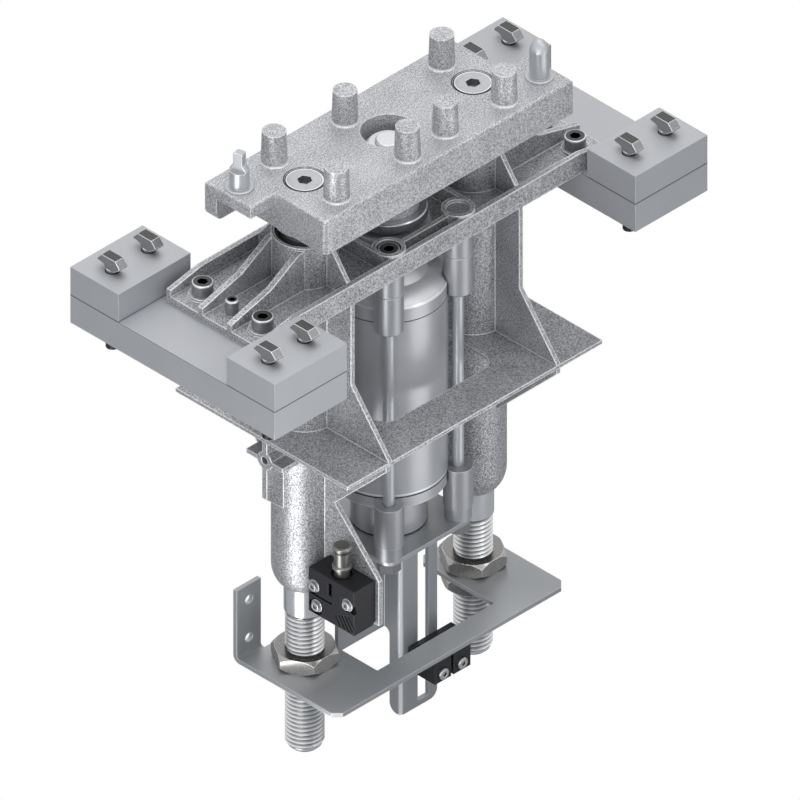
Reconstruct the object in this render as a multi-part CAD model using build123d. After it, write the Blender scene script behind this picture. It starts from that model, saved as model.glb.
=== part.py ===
from build123d import *
import math
import os

# Lift positioning unit for a pallet conveyor, in millimetres.
# The origin lies on the lifting axis, in the plane of the spacer blocks' top faces, where the
# conveyor's beams are clamped.
# +X runs along the unit, +Z is up, and the sensor side faces -Y.
# The lift is modelled in its lowered position.

# Running and seating clearances
RUN_GAP = 0.03        # radial gap of a rod in its bush
SEAT_GAP = 0.05       # radial gap of a pressed or located piece
THREAD_GAP = 0.1      # radial gap of a plain-modelled thread in its hole
STOP_GAP = 0.3        # gap left at a stop between the lift and the base
PAST = 1.0            # how far a cutting shape passes a face, or a joined shape enters one
EDGE = 0.8            # turned chamfer on steel edges
FIND = 0.1            # tolerance for finding an edge or corner by its place

# Stroke; the upper lock nuts stay below the guide housings by the reserve
LIFT_STROKE = 42.0
STROKE_RESERVE = 5.0

# Fastener sizes
M4_D = 4.0
M6_TAP_D = 5.1
M8_D = 8.0
M8_HEAD_D = 13.0
M8_HEAD_H = 8.0
M8_SOCKET_AF = 6.0
M8_CLEAR_D = 9.0
M8_NUT_AF = 13.0
M8_NUT_H = 6.5
M8_WASHER_D = 16.0
M8_WASHER_T = 1.6
M12_D = 12.0
M12_HEAD_D = 24.0
M12_SOCKET_AF = 8.0
M16_D = 16.0
M16_NUT_AF = 24.0
M16_NUT_H = 8.0
M24_D = 23.6
M24_NUT_AF = 36.0
M24_NUT_H = 10.0
NUT_BEVEL_SHARE = 0.95    # of the hexagon's corner height
HEAD_EDGE_R = 0.6
SOCKET_SHARE = 0.5        # socket depth as a share of the head's height
SCREW_END_GAP = 3.0       # screw end above the underside of what it is screwed into

# Conveyor mounting: spacer blocks on two cross plates
BLOCK_X = 60.0
BLOCK_Y = 40.0
BLOCK_T = 20.0
CROSS_T = 20.0
CROSS_Y = 170.0
CROSS_LAP = 25.0        # the floor's end on a cross plate
T_BOLT_PITCH_X = 30.0
T_BOLT_Y = 65.0
T_HEAD_LENGTH = 18.2
T_HEAD_WIDTH = 7.0
T_HEAD_TOP = 10.5
T_HEAD_FLAT = 11.3
T_HEAD_SIDE_Z = 5.5
T_HEAD_SIDE_H = 1.1
T_NECK_ROUND_H = 2.1    # round foot of the neck, as wide as the shank
T_NECK_HALF = 3.5
T_NECK_H = 4.0
T_WING_FOOT = 5.0
T_WING_FOOT_Z = 5.0
T_HEAD_SLOPE_FOOT = 4.0
T_BOLT_TAIL = 6.4      # thread end below the nut

# Base casting
FLOOR_T = 5.0
FLOOR_HALF_X = 145.0
FLOOR_HALF_Y = 40.0
BEAM_T = 3.5
BEAM_H = 14.5
BEAM_END_H = 9.5
BEAM_SLOPE_X = 26.0
INNER_RIB_Y = 12.0
INNER_RIB_T = 4.0
INNER_RIB_MID_X = 112.0
INNER_RIB_MID_H = 13.5
INNER_RIB_TOP_X = 88.0
GUIDE_X = 70.0
HOUSING_D = 40.0
HOUSING_TOP = 14.5
HOUSING_BOTTOM = -237.5
HOUSING_FOOT_H = 14.0   # height of the curved taper at the lower end
HOUSING_FOOT_D = 29.0
HOUSING_BORE_D = 32.0
HOUSING_LIP_D = 26.5
HOUSING_LIP_T = 6.0
RIB_DROP = 2.0        # top of the ribs below the housing's top
WEB_T = 3.0
WEB_STRAIGHT_H = 57.5
FLANGE_TOP = -117.5
FLANGE_T = 2.5
FLANGE_HALF_X = 106.0
FLANGE_HALF_Y = 71.5
FLANGE_OPENING_X = 92.0
FLANGE_OPENING_Y = 86.0
FLANGE_OPENING_R = 10.0
UNDER_GUSSET_Y = 71.0
UNDER_GUSSET_END_H = 3.9  # height of its outer end; from there its edge falls as fast as it runs
GUSSET_T = 3.0
GUSSET_TOP_Y = 23.0
SCREW_INSET = 15.0      # from the floor's end
SCREW_Y = 25.0
SPOTFACE_D = 17.0
SPOTFACE_H = 1.8
DOWEL_INSET = 14.5
DOWEL_D = 8.0
DOWEL_TOP = -5.3
DOWEL_THREAD_DEPTH = 10.0
FLOOR_HOLE_D = 50.0
END_BOSS_X = 103.5
END_BOSS_Z = -135.5
END_BOSS_D = 12.0
END_HOLE_DEPTH = 12.0
END_SHELF_HALF_Y = 15.0
END_SHELF_T = 3.0
END_RIB_T = 4.0
END_RIB_BOTTOM = -163.0
END_RIB_SLOPE = 12.5

# Sensor arm cast on the left housing
ARM_T = 3.2
ARM_NOTCH_Y = 27.9
ARM_REACH_Y = 64.8
ARM_BOTTOM = -237.5
ARM_ROOT_Y = 17.0

# Guide bushes and wipers
BUSH_L = 50.0
WIPER_D = 36.0
WIPER_H = 5.0
WIPER_RECESS = 1.2
WIPER_LIP_T = 1.0
WIPER_GROOVE_W = 3.0
WIPER_GROOVE_DEPTH = 1.8

# Cylinder, 63 bore
CYL_BORE = 63.0
CYL_WALL_T = 3.5
CYL_TUBE_L = 126.0
CYL_BAND_H = 10.0
TUBE_EDGE = 0.5
CYL_DOME_D = 46.0       # where the dome turns into the steeper shoulder
CYL_DOME_H = 7.0
CYL_SHOULDER_H = 7.0
CYL_NECK_D = 30.0
CYL_NECK_TOP = -12.0
CYL_BOTTOM_CAP_H = 8.0
CYL_HUB_D = 46.0
CYL_HUB_H = 29.0
CYL_PLUG_H = 8.0
CYL_TOP_Z = -53.5       # rim of the domed cap
TIE_GAP = 2.23          # between tube and tie rods
TIE_D = 7.0
SLEEVE_D = 18.0
SLEEVE_GAP = 0.3
SLEEVE_LINE_DROP = 15.5   # turned line around the sleeve, below its top
SLEEVE_LINE_W = 0.8
SLEEVE_TAP_DEPTH = 31.5
TIE_ROD_DROP = 32.5     # end of a tie rod below its sleeve's top
TIE_END = 2.0           # tie rod past its nut
LOWER_SLEEVE_STEP = 9.5
LOWER_SLEEVE_STEP_D = 16.5
TIE_BOSS_D = 20.0
TIE_BOSS_TOP = -4.2
TIE_COUNTERBORE_D = 15.0
CYL_SCREW_L = 35.0
DISH_DEPTH = 2.0        # recess on the two bosses held by studs
TIE_STUD_ROOF = 3.0     # solid metal left above such a stud
HEAD_SINK = 1.0         # cylinder screw heads below the boss tops
PORT_D = 8.6
PORT_DEPTH = 10.0
ROD_CLEARANCE = 0.5
GLAND_BUSH_D = 26.0
GLAND_BUSH_L = 24.0
GLAND_SEAL_H = 5.0
GLAND_SEAL_LIP_T = 1.0
GLAND_SEAL_LIP_H = 1.2
O_RING_D = 2.6
O_RING_GAP = 0.1

# Piston and rod
ROD_D = 20.0
PISTON_H = 24.0
PISTON_GAP = 0.05
PISTON_SEAL_H = 4.0
PISTON_SEAL_PITCH = 9.6
PISTON_SEAL_DEPTH = 3.5
PISTON_STUD_D = 12.0
PISTON_NUT_AF = 18.0
PISTON_NUT_H = 6.0
PISTON_NUT_SINK = 1.0   # nut above the piston's underside
PISTON_RECESS_D = 23.4
ROD_END_PAST_NUT = 2.7
DISC_D = 46.0
DISC_T = 6.0
DISC_TOP = -1.5

# Bracket plate under the cylinder, and the slotted sensor rail
SHEET_T = 3.0
BRACKET_HALF = 36.0
RAIL_LEFT = -46.0
RAIL_BACK_Y = -4.0
RAIL_BEND_X = -7.8
RAIL_FRONT_Y = -17.6
RAIL_RIGHT = 22.6
RAIL_BACK_BOTTOM = -300.2
RAIL_BOTTOM = -358.5
RAIL_FLANGE_DEPTH = 9.3
RAIL_FILLET = 4.0
RAIL_CORNER_R = 6.0
RAIL_BEND_R = 3.5
RAIL_SLOT_X = 11.0
RAIL_SLOT_W = 9.2
RAIL_SLOT_TOP = -243.0
RAIL_SLOT_BOTTOM = -354.5
RAIL_TONGUE_Y = 36.0

# Clamp and sensor on the rail
CLAMP_LEFT = 4.6
CLAMP_RIGHT = 34.1
CLAMP_DEPTH = 16.2
CLAMP_TOP = -311.5
CLAMP_H = 22.7
CLAMP_SLIT_X = 19.0
CLAMP_SLIT_W = 2.1
CLAMP_SLIT_DEPTH = 11.0
CLAMP_BASE_LEFT = -1.5
CLAMP_BASE_T = 3.0
CLAMP_BASE_H = 20.0
CLAMP_SCREW_Z = -328.8
CLAMP_SCREW_X = 26.6
CLAMP_SCREW_HEAD_D = 7.5
CLAMP_SCREW_HEAD_H = 3.0
CLAMP_SCREW_SOCKET_AF = 2.8
CLAMP_SCREW_SOCKET_DEPTH = 1.6
CLAMP_SCREW_L = 12.0
CLAMP_SEAT_DEPTH = 1.0
RAIL_SENSOR_D = 8.0
RAIL_SENSOR_Z = -317.5
RAIL_SENSOR_PROUD = 2.0
SLIDE_NUT_W = 14.0
SLIDE_NUT_T = 3.0

# Clamp block and sensor on the arm
BLOCK_FRONT_Y = -62.0
BLOCK_BACK_Y = -24.0
BLOCK_DEPTH_X = 17.7
BLOCK_TOP = -206.0
BLOCK_H = 31.4
BLOCK_CHAMFER = 4.0
BLOCK_SENSOR_Y = -43.0
BLOCK_SENSOR_D = 9.4
BLOCK_SLIT_Z = 17.6
BLOCK_SLIT_W = 2.0
BLOCK_SLIT_L = 19.0
BLOCK_CUP_D = 13.5
BLOCK_CUP_DEPTH = 2.0
SENSOR_TOP = 20.7
SENSOR_HEAD_D = 11.5
SENSOR_HEAD_H = 2.4
SENSOR_CONE_H = 2.4
SENSOR_RING_D = 11.6
SENSOR_RING_H = 1.8
SENSOR_RING_Z = 4.6
SENSOR_PROUD = 2.0
ARM_WASHER_D = 8.2
ARM_WASHER_T = 0.8
ARM_SCREW_HEAD_D = 6.0
ARM_SCREW_HEAD_H = 2.0
ARM_SCREW_SEAT = 1.0
ARM_SCREW_EDGE_R = 0.5
ARM_SCREW_SOCKET_AF = 2.6
ARM_SCREW_SOCKET_DEPTH = 1.4
ARM_SCREWS = ((-28.4, 11.8), (-30.6, 25.0), (-56.0, 11.8))

# Top plate
PLATE_TOP = 50.5
PLATE_SKIN = 8.0
PLATE_HALF_X = 92.5
PLATE_HALF_Y = 40.0
PLATE_WALL_T = 9.5
PLATE_WALL_BOTTOM = 26.5
PLATE_WALL_CORNER_R = 5.0
PLATE_CORNER_R = 3.0
PLATE_EDGE_R = 1.5
EAR_REACH = 20.5
EAR_INNER_Y = 2.0
ROD_BOSS_D = 36.0
ROD_BOSS_BOTTOM = 20.5
CENTRE_BOSS_D = 36.0
CENTRE_RECESS_D = 34.0
CENTRE_RECESS_DEPTH = 16.0
STUD_H = 22.0
STUD_TOP_D = 14.6
STUD_BASE_D = 16.0
STUD_FOOT_R = 1.0
STUD_PLACES = ((-69.5, 26.0), (-10.5, 26.0), (70.0, 26.0), (-69.5, -26.0),
               (-10.5, -26.0), (70.0, -26.0), (23.0, -24.0))

# Locating pins
PIN_D = 12.0
PIN_COLLAR_D = 17.5
PIN_COLLAR_H = 1.2
PIN_COLLAR_CHAMFER = 0.5
PIN_STRAIGHT = 19.5
PIN_H = 26.5
PIN_TIP_R = 1.5
ROUND_PIN_OUT = 9.5     # pins past the plate's ends
ROUND_PIN_Y = -23.3
FLAT_PIN_OUT = 9.9
FLAT_PIN_Y = 21.9
FLAT_PIN_ROUND_H = 13.0
FLAT_PIN_CONE_H = 3.4
FLAT_PIN_CONE_D = 7.8
FLAT_PIN_FLAT_DROP = 0.6  # foot of the two flats below the cone
FLAT_PIN_H = 25.0
FLAT_PIN_BLADE_X = 5.0
FLAT_PIN_BLADE_Y = 6.0
FLAT_PIN_CREST = 0.8
FLAT_PIN_TURN = 17.5      # degrees, as the pin was pressed in
PIN_SHANK_BELOW = 3.0

# Guide rods
GUIDE_ROD_D = 25.0
GUIDE_ROD_SEAT = 12.0   # top of the rods below the plate's top face
GUIDE_THREAD_TOP = -257.0
GUIDE_ROD_BOTTOM = -356.0
GUIDE_ROD_CHAMFER = 2.0
COUNTERSINK_D = 24.5
M12_SCREW_L = 40.0
M12_TAP_EXTRA = 4.0     # depth of the rod's tapped hole past the screw
M12_SOCKET_DEPTH = 5.0

# Connecting plate
LINK_LEFT = -98.5
LINK_RIGHT = 93.0
LINK_FRONT = -55.4
LINK_BACK = 25.0
LINK_GAP_HALF_X = 48.6
LINK_GAP_FRONT = -39.0
LINK_CHAMFER = 5.0
TAB_WIDTH = 20.0
TAB_FRONT_Y = 28.0
TAB_TOP = -246.2
TAB_BEND_R = 5.0
TAB_HOLE_D = 6.5
TAB_HOLE_X = 10.2       # from the tab's left edge
TAB_HOLE_DROP = 10.7    # upper hole below the tab's top
TAB_HOLE_PITCH = 27.3

# Levels and places that follow from the sizes above
BLOCK_BOTTOM = -BLOCK_T
CROSS_BOTTOM = BLOCK_BOTTOM - CROSS_T
FLOOR_BOTTOM = BLOCK_BOTTOM
FLOOR_TOP = FLOOR_BOTTOM + FLOOR_T
BEAM_TOP = FLOOR_BOTTOM + BEAM_H
PLATE_UNDER = PLATE_TOP - PLATE_SKIN
FLANGE_BOTTOM = FLANGE_TOP - FLANGE_T
CROSS_INNER_X = FLOOR_HALF_X - CROSS_LAP
CROSS_CENTRE_X = CROSS_INNER_X + BLOCK_X / 2
SCREW_X = FLOOR_HALF_X - SCREW_INSET
DOWEL_X = FLOOR_HALF_X - DOWEL_INSET
CYL_TUBE_D = CYL_BORE + 2 * CYL_WALL_T
TIE_SPREAD = (CYL_TUBE_D / 2 + TIE_GAP + TIE_D / 2) / math.sqrt(2)
ROUND_PIN = (PLATE_HALF_X + ROUND_PIN_OUT, ROUND_PIN_Y)
FLAT_PIN = (-PLATE_HALF_X - FLAT_PIN_OUT, FLAT_PIN_Y)
BLOCK_CENTRE_Y = CROSS_Y / 2 - BLOCK_Y / 2
SCREW_SEAT = FLOOR_TOP + SPOTFACE_H
TUBE_TOP = CYL_TOP_Z - CYL_BAND_H
TUBE_BOTTOM = TUBE_TOP - CYL_TUBE_L
CYL_CAP_BOTTOM = TUBE_BOTTOM - CYL_BOTTOM_CAP_H
BRACKET_TOP = CYL_CAP_BOTTOM - CYL_HUB_H
BRACKET_BOTTOM = BRACKET_TOP - SHEET_T
PISTON_BOTTOM = TUBE_BOTTOM + CYL_PLUG_H + STOP_GAP
PISTON_TOP = PISTON_BOTTOM + PISTON_H
NUT_RECESS_FLOOR = PLATE_TOP - CENTRE_RECESS_DEPTH
DISC_BOTTOM = DISC_TOP - DISC_T
ROD_END_TOP = NUT_RECESS_FLOOR + M16_NUT_H + ROD_END_PAST_NUT
ARM_FACE_X = -GUIDE_X - ARM_T
TIE_SCREW_SEAT = TIE_BOSS_TOP - M8_HEAD_H - HEAD_SINK
TIE_STUD_TOP = TIE_BOSS_TOP - DISH_DEPTH - TIE_STUD_ROOF
LINK_TOP = HOUSING_BOTTOM - LIFT_STROKE - STROKE_RESERVE - M24_NUT_H
LINK_BOTTOM = LINK_TOP - SHEET_T
ROD_TOP = PLATE_TOP - GUIDE_ROD_SEAT

CORNERS = ((1, 1), (-1, 1), (-1, -1), (1, -1))
SCREWED_CORNERS = ((1, 1), (-1, -1))
STUDDED_CORNERS = ((-1, 1), (1, -1))


def box(x0, x1, y0, y1, z0, z1):
    """Box between two corners."""
    middle = Pos((x0 + x1) / 2, (y0 + y1) / 2, (z0 + z1) / 2)
    return middle * Box(x1 - x0, y1 - y0, z1 - z0)


def rod(diameter, z0, z1, x=0, y=0):
    """Upright round bar."""
    return Pos(x, y, (z0 + z1) / 2) * Cylinder(diameter / 2, z1 - z0)


def rod_x(diameter, x0, x1, y, z):
    """Round bar along X."""
    return Pos((x0 + x1) / 2, y, z) * Rot(0, 90, 0) * Cylinder(diameter / 2, x1 - x0)


def rod_y(diameter, y0, y1, x, z):
    """Round bar along Y."""
    return Pos(x, (y0 + y1) / 2, z) * Rot(90, 0, 0) * Cylinder(diameter / 2, y1 - y0)


def slab_yz(points, x0, x1):
    """Plate parallel to YZ from an outline of (y, z) points."""
    face = Plane.YZ * make_face(Polyline(*points, close=True))
    return Pos(x0, 0, 0) * extrude(face, x1 - x0)


def slab_xz(points, y0, y1):
    """Plate parallel to XZ from an outline of (x, z) points."""
    face = Plane.XZ * make_face(Polyline(*points, close=True))
    return Pos(0, y1, 0) * extrude(face, y1 - y0)


def turned(points):
    """Solid turned about Z from a closed outline of (radius, z) points."""
    face = Plane.XZ * make_face(Polyline(*points, close=True))
    return revolve(face, Axis.Z)


def mirrored_x(shape):
    return mirror(shape, Plane.YZ)


def hexagon(across_flats, z0, z1, turn=0):
    """Hexagonal prism with corners on the X axis."""
    outline = RegularPolygon(across_flats / 2, 6, major_radius=False)
    corner_turn = Rot(0, 0, turn)
    return Pos(0, 0, z0) * corner_turn * extrude(outline, z1 - z0)


def hex_nut(across_flats, height, bore_d):
    """Nut standing on Z = 0 with both ends chamfered."""
    corner_r = across_flats / math.sqrt(3)
    bevel = (corner_r - across_flats / 2) * NUT_BEVEL_SHARE
    blank = hexagon(across_flats, 0, height)
    drum = chamfer(rod(2 * corner_r, 0, height).edges(), bevel)
    bore = rod(bore_d, -PAST, height + PAST)
    return (blank & drum) - bore


def hex_socket(across_flats, depth, top_z):
    return hexagon(across_flats, top_z - depth, top_z + PAST)


def cap_screw(head_d, head_h, socket_af, shank_d, length):
    """Cap screw with its head seat at Z = 0 and its shank pointing down."""
    head = fillet(rod(head_d, 0, head_h).edges().group_by(Axis.Z)[-1], HEAD_EDGE_R)
    shank = rod(shank_d, -length, 0)
    return head + shank - hex_socket(socket_af, head_h * SOCKET_SHARE, head_h)


def group(solids):
    return Compound(children=list(solids))


def guide_pair(shape):
    return group([Pos(-GUIDE_X, 0, 0) * shape, Pos(GUIDE_X, 0, 0) * shape])


def at_corners(shape, corners):
    return group([Pos(sx * TIE_SPREAD, sy * TIE_SPREAD, 0) * shape for sx, sy in corners])


def at_tie_rods(shape):
    return at_corners(shape, CORNERS)


def cross_plate():
    """Plate that carries two spacer blocks, at the +X end."""
    plate = box(CROSS_INNER_X, CROSS_INNER_X + BLOCK_X, -CROSS_Y / 2, CROSS_Y / 2,
                CROSS_BOTTOM, BLOCK_BOTTOM)
    for side in (1, -1):
        for step in (-0.5, 0.5):
            x = CROSS_CENTRE_X + step * T_BOLT_PITCH_X
            plate -= rod(M8_CLEAR_D, CROSS_BOTTOM - PAST, BLOCK_BOTTOM + PAST, x, side * T_BOLT_Y)
        plate -= rod(M8_D + 2 * THREAD_GAP, CROSS_BOTTOM - PAST, BLOCK_BOTTOM + PAST,
                     SCREW_X, side * SCREW_Y)
    return plate - rod(DOWEL_D + 2 * SEAT_GAP, CROSS_BOTTOM - PAST, BLOCK_BOTTOM + PAST, DOWEL_X, 0)


def spacer_blocks():
    half_x = BLOCK_X / 2
    half_y = BLOCK_Y / 2
    block = box(-half_x, half_x, -half_y, half_y, BLOCK_BOTTOM, 0)
    bolt_y = T_BOLT_Y - BLOCK_CENTRE_Y
    blocks = []
    for sx, sy in CORNERS:
        drilled = block
        for step in (-0.5, 0.5):
            hole = rod(M8_CLEAR_D, BLOCK_BOTTOM - PAST, PAST, step * T_BOLT_PITCH_X, sy * bolt_y)
            drilled -= hole
        blocks.append(Pos(sx * CROSS_CENTRE_X, sy * BLOCK_CENTRE_Y, 0) * drilled)
    return group(blocks)


def at_t_bolts(shape):
    places = []
    for sx, sy in CORNERS:
        for step in (-0.5, 0.5):
            x = sx * (CROSS_CENTRE_X + step * T_BOLT_PITCH_X)
            places.append(Pos(x, sy * T_BOLT_Y, 0) * shape)
    return group(places)


def t_bolt():
    """Hammer-head bolt; its tilting side has a sloped underside, the other a flat one."""
    half = T_HEAD_LENGTH / 2
    flat = T_HEAD_FLAT / 2
    shoulder = T_HEAD_SIDE_Z + T_HEAD_SIDE_H
    outline = [(-T_HEAD_SLOPE_FOOT, T_NECK_ROUND_H), (-half, T_HEAD_SIDE_Z), (-half, shoulder),
               (-flat, T_HEAD_TOP), (flat, T_HEAD_TOP), (half, shoulder), (half, T_HEAD_SIDE_Z),
               (T_WING_FOOT, T_WING_FOOT_Z), (T_NECK_HALF, T_NECK_H),
               (T_NECK_HALF, T_NECK_ROUND_H)]
    head = slab_yz(outline, -T_HEAD_WIDTH / 2, T_HEAD_WIDTH / 2)
    end = CROSS_BOTTOM - M8_WASHER_T - M8_NUT_H - T_BOLT_TAIL
    return head + rod(M8_D, end, T_NECK_ROUND_H)


def t_bolt_washer():
    top = CROSS_BOTTOM
    hole = rod(M8_CLEAR_D, top - M8_WASHER_T - PAST, top + PAST)
    return rod(M8_WASHER_D, top - M8_WASHER_T, top) - hole


def t_bolt_nut():
    z = CROSS_BOTTOM - M8_WASHER_T - M8_NUT_H
    return Pos(0, 0, z) * hex_nut(M8_NUT_AF, M8_NUT_H, M8_D + 2 * THREAD_GAP)


def housing_outside():
    """Outer form of one guide housing, its lower end drawn in along an arc."""
    r = HOUSING_D / 2
    foot_r = HOUSING_FOOT_D / 2
    side = Line((r, HOUSING_TOP), (r, HOUSING_BOTTOM + HOUSING_FOOT_H))
    taper = TangentArc(side @ 1, (foot_r, HOUSING_BOTTOM), tangent=(0, -1))
    rest = Polyline((foot_r, HOUSING_BOTTOM), (0, HOUSING_BOTTOM), (0, HOUSING_TOP),
                    (r, HOUSING_TOP))
    return revolve(Plane.XZ * make_face([side, taper, rest]), Axis.Z)


def housing_bore():
    """Everything cut out of one guide housing."""
    bore_bottom = HOUSING_BOTTOM + HOUSING_LIP_T
    bore = rod(HOUSING_BORE_D, bore_bottom, HOUSING_TOP + PAST)
    lip = rod(HOUSING_LIP_D, HOUSING_BOTTOM - PAST, bore_bottom + PAST)
    wiper_seat = rod(WIPER_D + 2 * SEAT_GAP, HOUSING_TOP - WIPER_H - WIPER_RECESS,
                     HOUSING_TOP + PAST)
    return bore + lip + wiper_seat


def end_boss(x_in):
    """Boss with its shelf and rib at the +X end, below the flange."""
    shelf = box(x_in, END_BOSS_X, -END_SHELF_HALF_Y, END_SHELF_HALF_Y,
                END_BOSS_Z - END_SHELF_T / 2, END_BOSS_Z + END_SHELF_T / 2)
    slope_x = GUIDE_X + HOUSING_D / 2
    rib = slab_xz([(x_in, FLANGE_BOTTOM + PAST), (END_BOSS_X, FLANGE_BOTTOM + PAST),
                   (END_BOSS_X, END_RIB_BOTTOM), (slope_x, END_RIB_BOTTOM - END_RIB_SLOPE),
                   (x_in, END_RIB_BOTTOM - END_RIB_SLOPE)],
                  -END_RIB_T / 2, END_RIB_T / 2)
    boss = rod_x(END_BOSS_D, x_in, END_BOSS_X, 0, END_BOSS_Z)
    hole = rod_x(M6_TAP_D, END_BOSS_X - END_HOLE_DEPTH, END_BOSS_X + PAST, 0, END_BOSS_Z)
    return shelf + rib + boss - hole


def floor_end():
    """Ribs, pads and gussets that stand on the floor at the +X end."""
    x_in = GUIDE_X
    rib_outline = [(x_in, FLOOR_TOP - PAST), (FLOOR_HALF_X, FLOOR_TOP - PAST),
                   (FLOOR_HALF_X, FLOOR_BOTTOM + BEAM_END_H),
                   (INNER_RIB_MID_X, FLOOR_TOP + INNER_RIB_MID_H),
                   (INNER_RIB_TOP_X, HOUSING_TOP - RIB_DROP), (x_in, HOUSING_TOP - RIB_DROP)]
    parts = Part()
    for side in (1, -1):
        y = side * INNER_RIB_Y
        parts += slab_xz(rib_outline, y - INNER_RIB_T / 2, y + INNER_RIB_T / 2)
        parts += rod(SPOTFACE_D, FLOOR_TOP - PAST, SCREW_SEAT, SCREW_X, side * SCREW_Y)
    gusset = [(0, FLOOR_TOP - PAST), (FLOOR_HALF_Y - PAST, FLOOR_TOP - PAST),
              (FLOOR_HALF_Y - PAST, BEAM_TOP), (FLOOR_HALF_Y - BEAM_T, BEAM_TOP),
              (GUSSET_TOP_Y, HOUSING_TOP - RIB_DROP), (0, HOUSING_TOP - RIB_DROP)]
    for side in (1, -1):
        outline = [(side * y, z) for y, z in gusset]
        parts += slab_yz(outline, x_in - GUSSET_T / 2, x_in + GUSSET_T / 2)
    return parts


def web():
    """Upright web at the +X housing, from the floor out to the flange."""
    knee = FLOOR_BOTTOM - WEB_STRAIGHT_H
    outline = [(-FLOOR_HALF_Y, FLOOR_BOTTOM + PAST), (FLOOR_HALF_Y, FLOOR_BOTTOM + PAST),
               (FLOOR_HALF_Y, knee), (FLANGE_HALF_Y, FLANGE_TOP), (FLANGE_HALF_Y, FLANGE_BOTTOM),
               (-FLANGE_HALF_Y, FLANGE_BOTTOM), (-FLANGE_HALF_Y, FLANGE_TOP),
               (-FLOOR_HALF_Y, knee)]
    return slab_yz(outline, GUIDE_X - WEB_T / 2, GUIDE_X + WEB_T / 2)


def flange():
    """Lower flange with its opening for the cylinder."""
    plate = box(-FLANGE_HALF_X, FLANGE_HALF_X, -FLANGE_HALF_Y, FLANGE_HALF_Y,
                FLANGE_BOTTOM, FLANGE_TOP)
    window = RectangleRounded(FLANGE_OPENING_X, FLANGE_OPENING_Y, FLANGE_OPENING_R)
    return plate - Pos(0, 0, FLANGE_BOTTOM - PAST) * extrude(window, FLANGE_T + 2 * PAST)


def under_gusset_z(y):
    """Height of the gussets' sloping lower edge, which falls towards the housing."""
    return FLANGE_BOTTOM - UNDER_GUSSET_END_H - UNDER_GUSSET_Y + y


def under_gusset(side):
    """Gusset from the flange's underside to a housing, at the +X end."""
    root = ARM_ROOT_Y
    outline = [(root, FLANGE_BOTTOM + PAST), (UNDER_GUSSET_Y, FLANGE_BOTTOM + PAST),
               (UNDER_GUSSET_Y, under_gusset_z(UNDER_GUSSET_Y)), (root, under_gusset_z(root))]
    outline = [(side * y, z) for y, z in outline]
    return slab_yz(outline, GUIDE_X - WEB_T / 2, GUIDE_X + WEB_T / 2)


def sensor_arm():
    """Gusset and plate on the left housing that carry the sensor block."""
    outline = [(-ARM_ROOT_Y, FLANGE_BOTTOM + PAST), (-UNDER_GUSSET_Y, FLANGE_BOTTOM + PAST),
               (-UNDER_GUSSET_Y, under_gusset_z(UNDER_GUSSET_Y)), (-ARM_NOTCH_Y, under_gusset_z(ARM_NOTCH_Y)),
               (-ARM_REACH_Y, BLOCK_TOP), (-ARM_REACH_Y, ARM_BOTTOM), (-ARM_ROOT_Y, ARM_BOTTOM)]
    return slab_yz(outline, ARM_FACE_X, -GUIDE_X)


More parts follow.
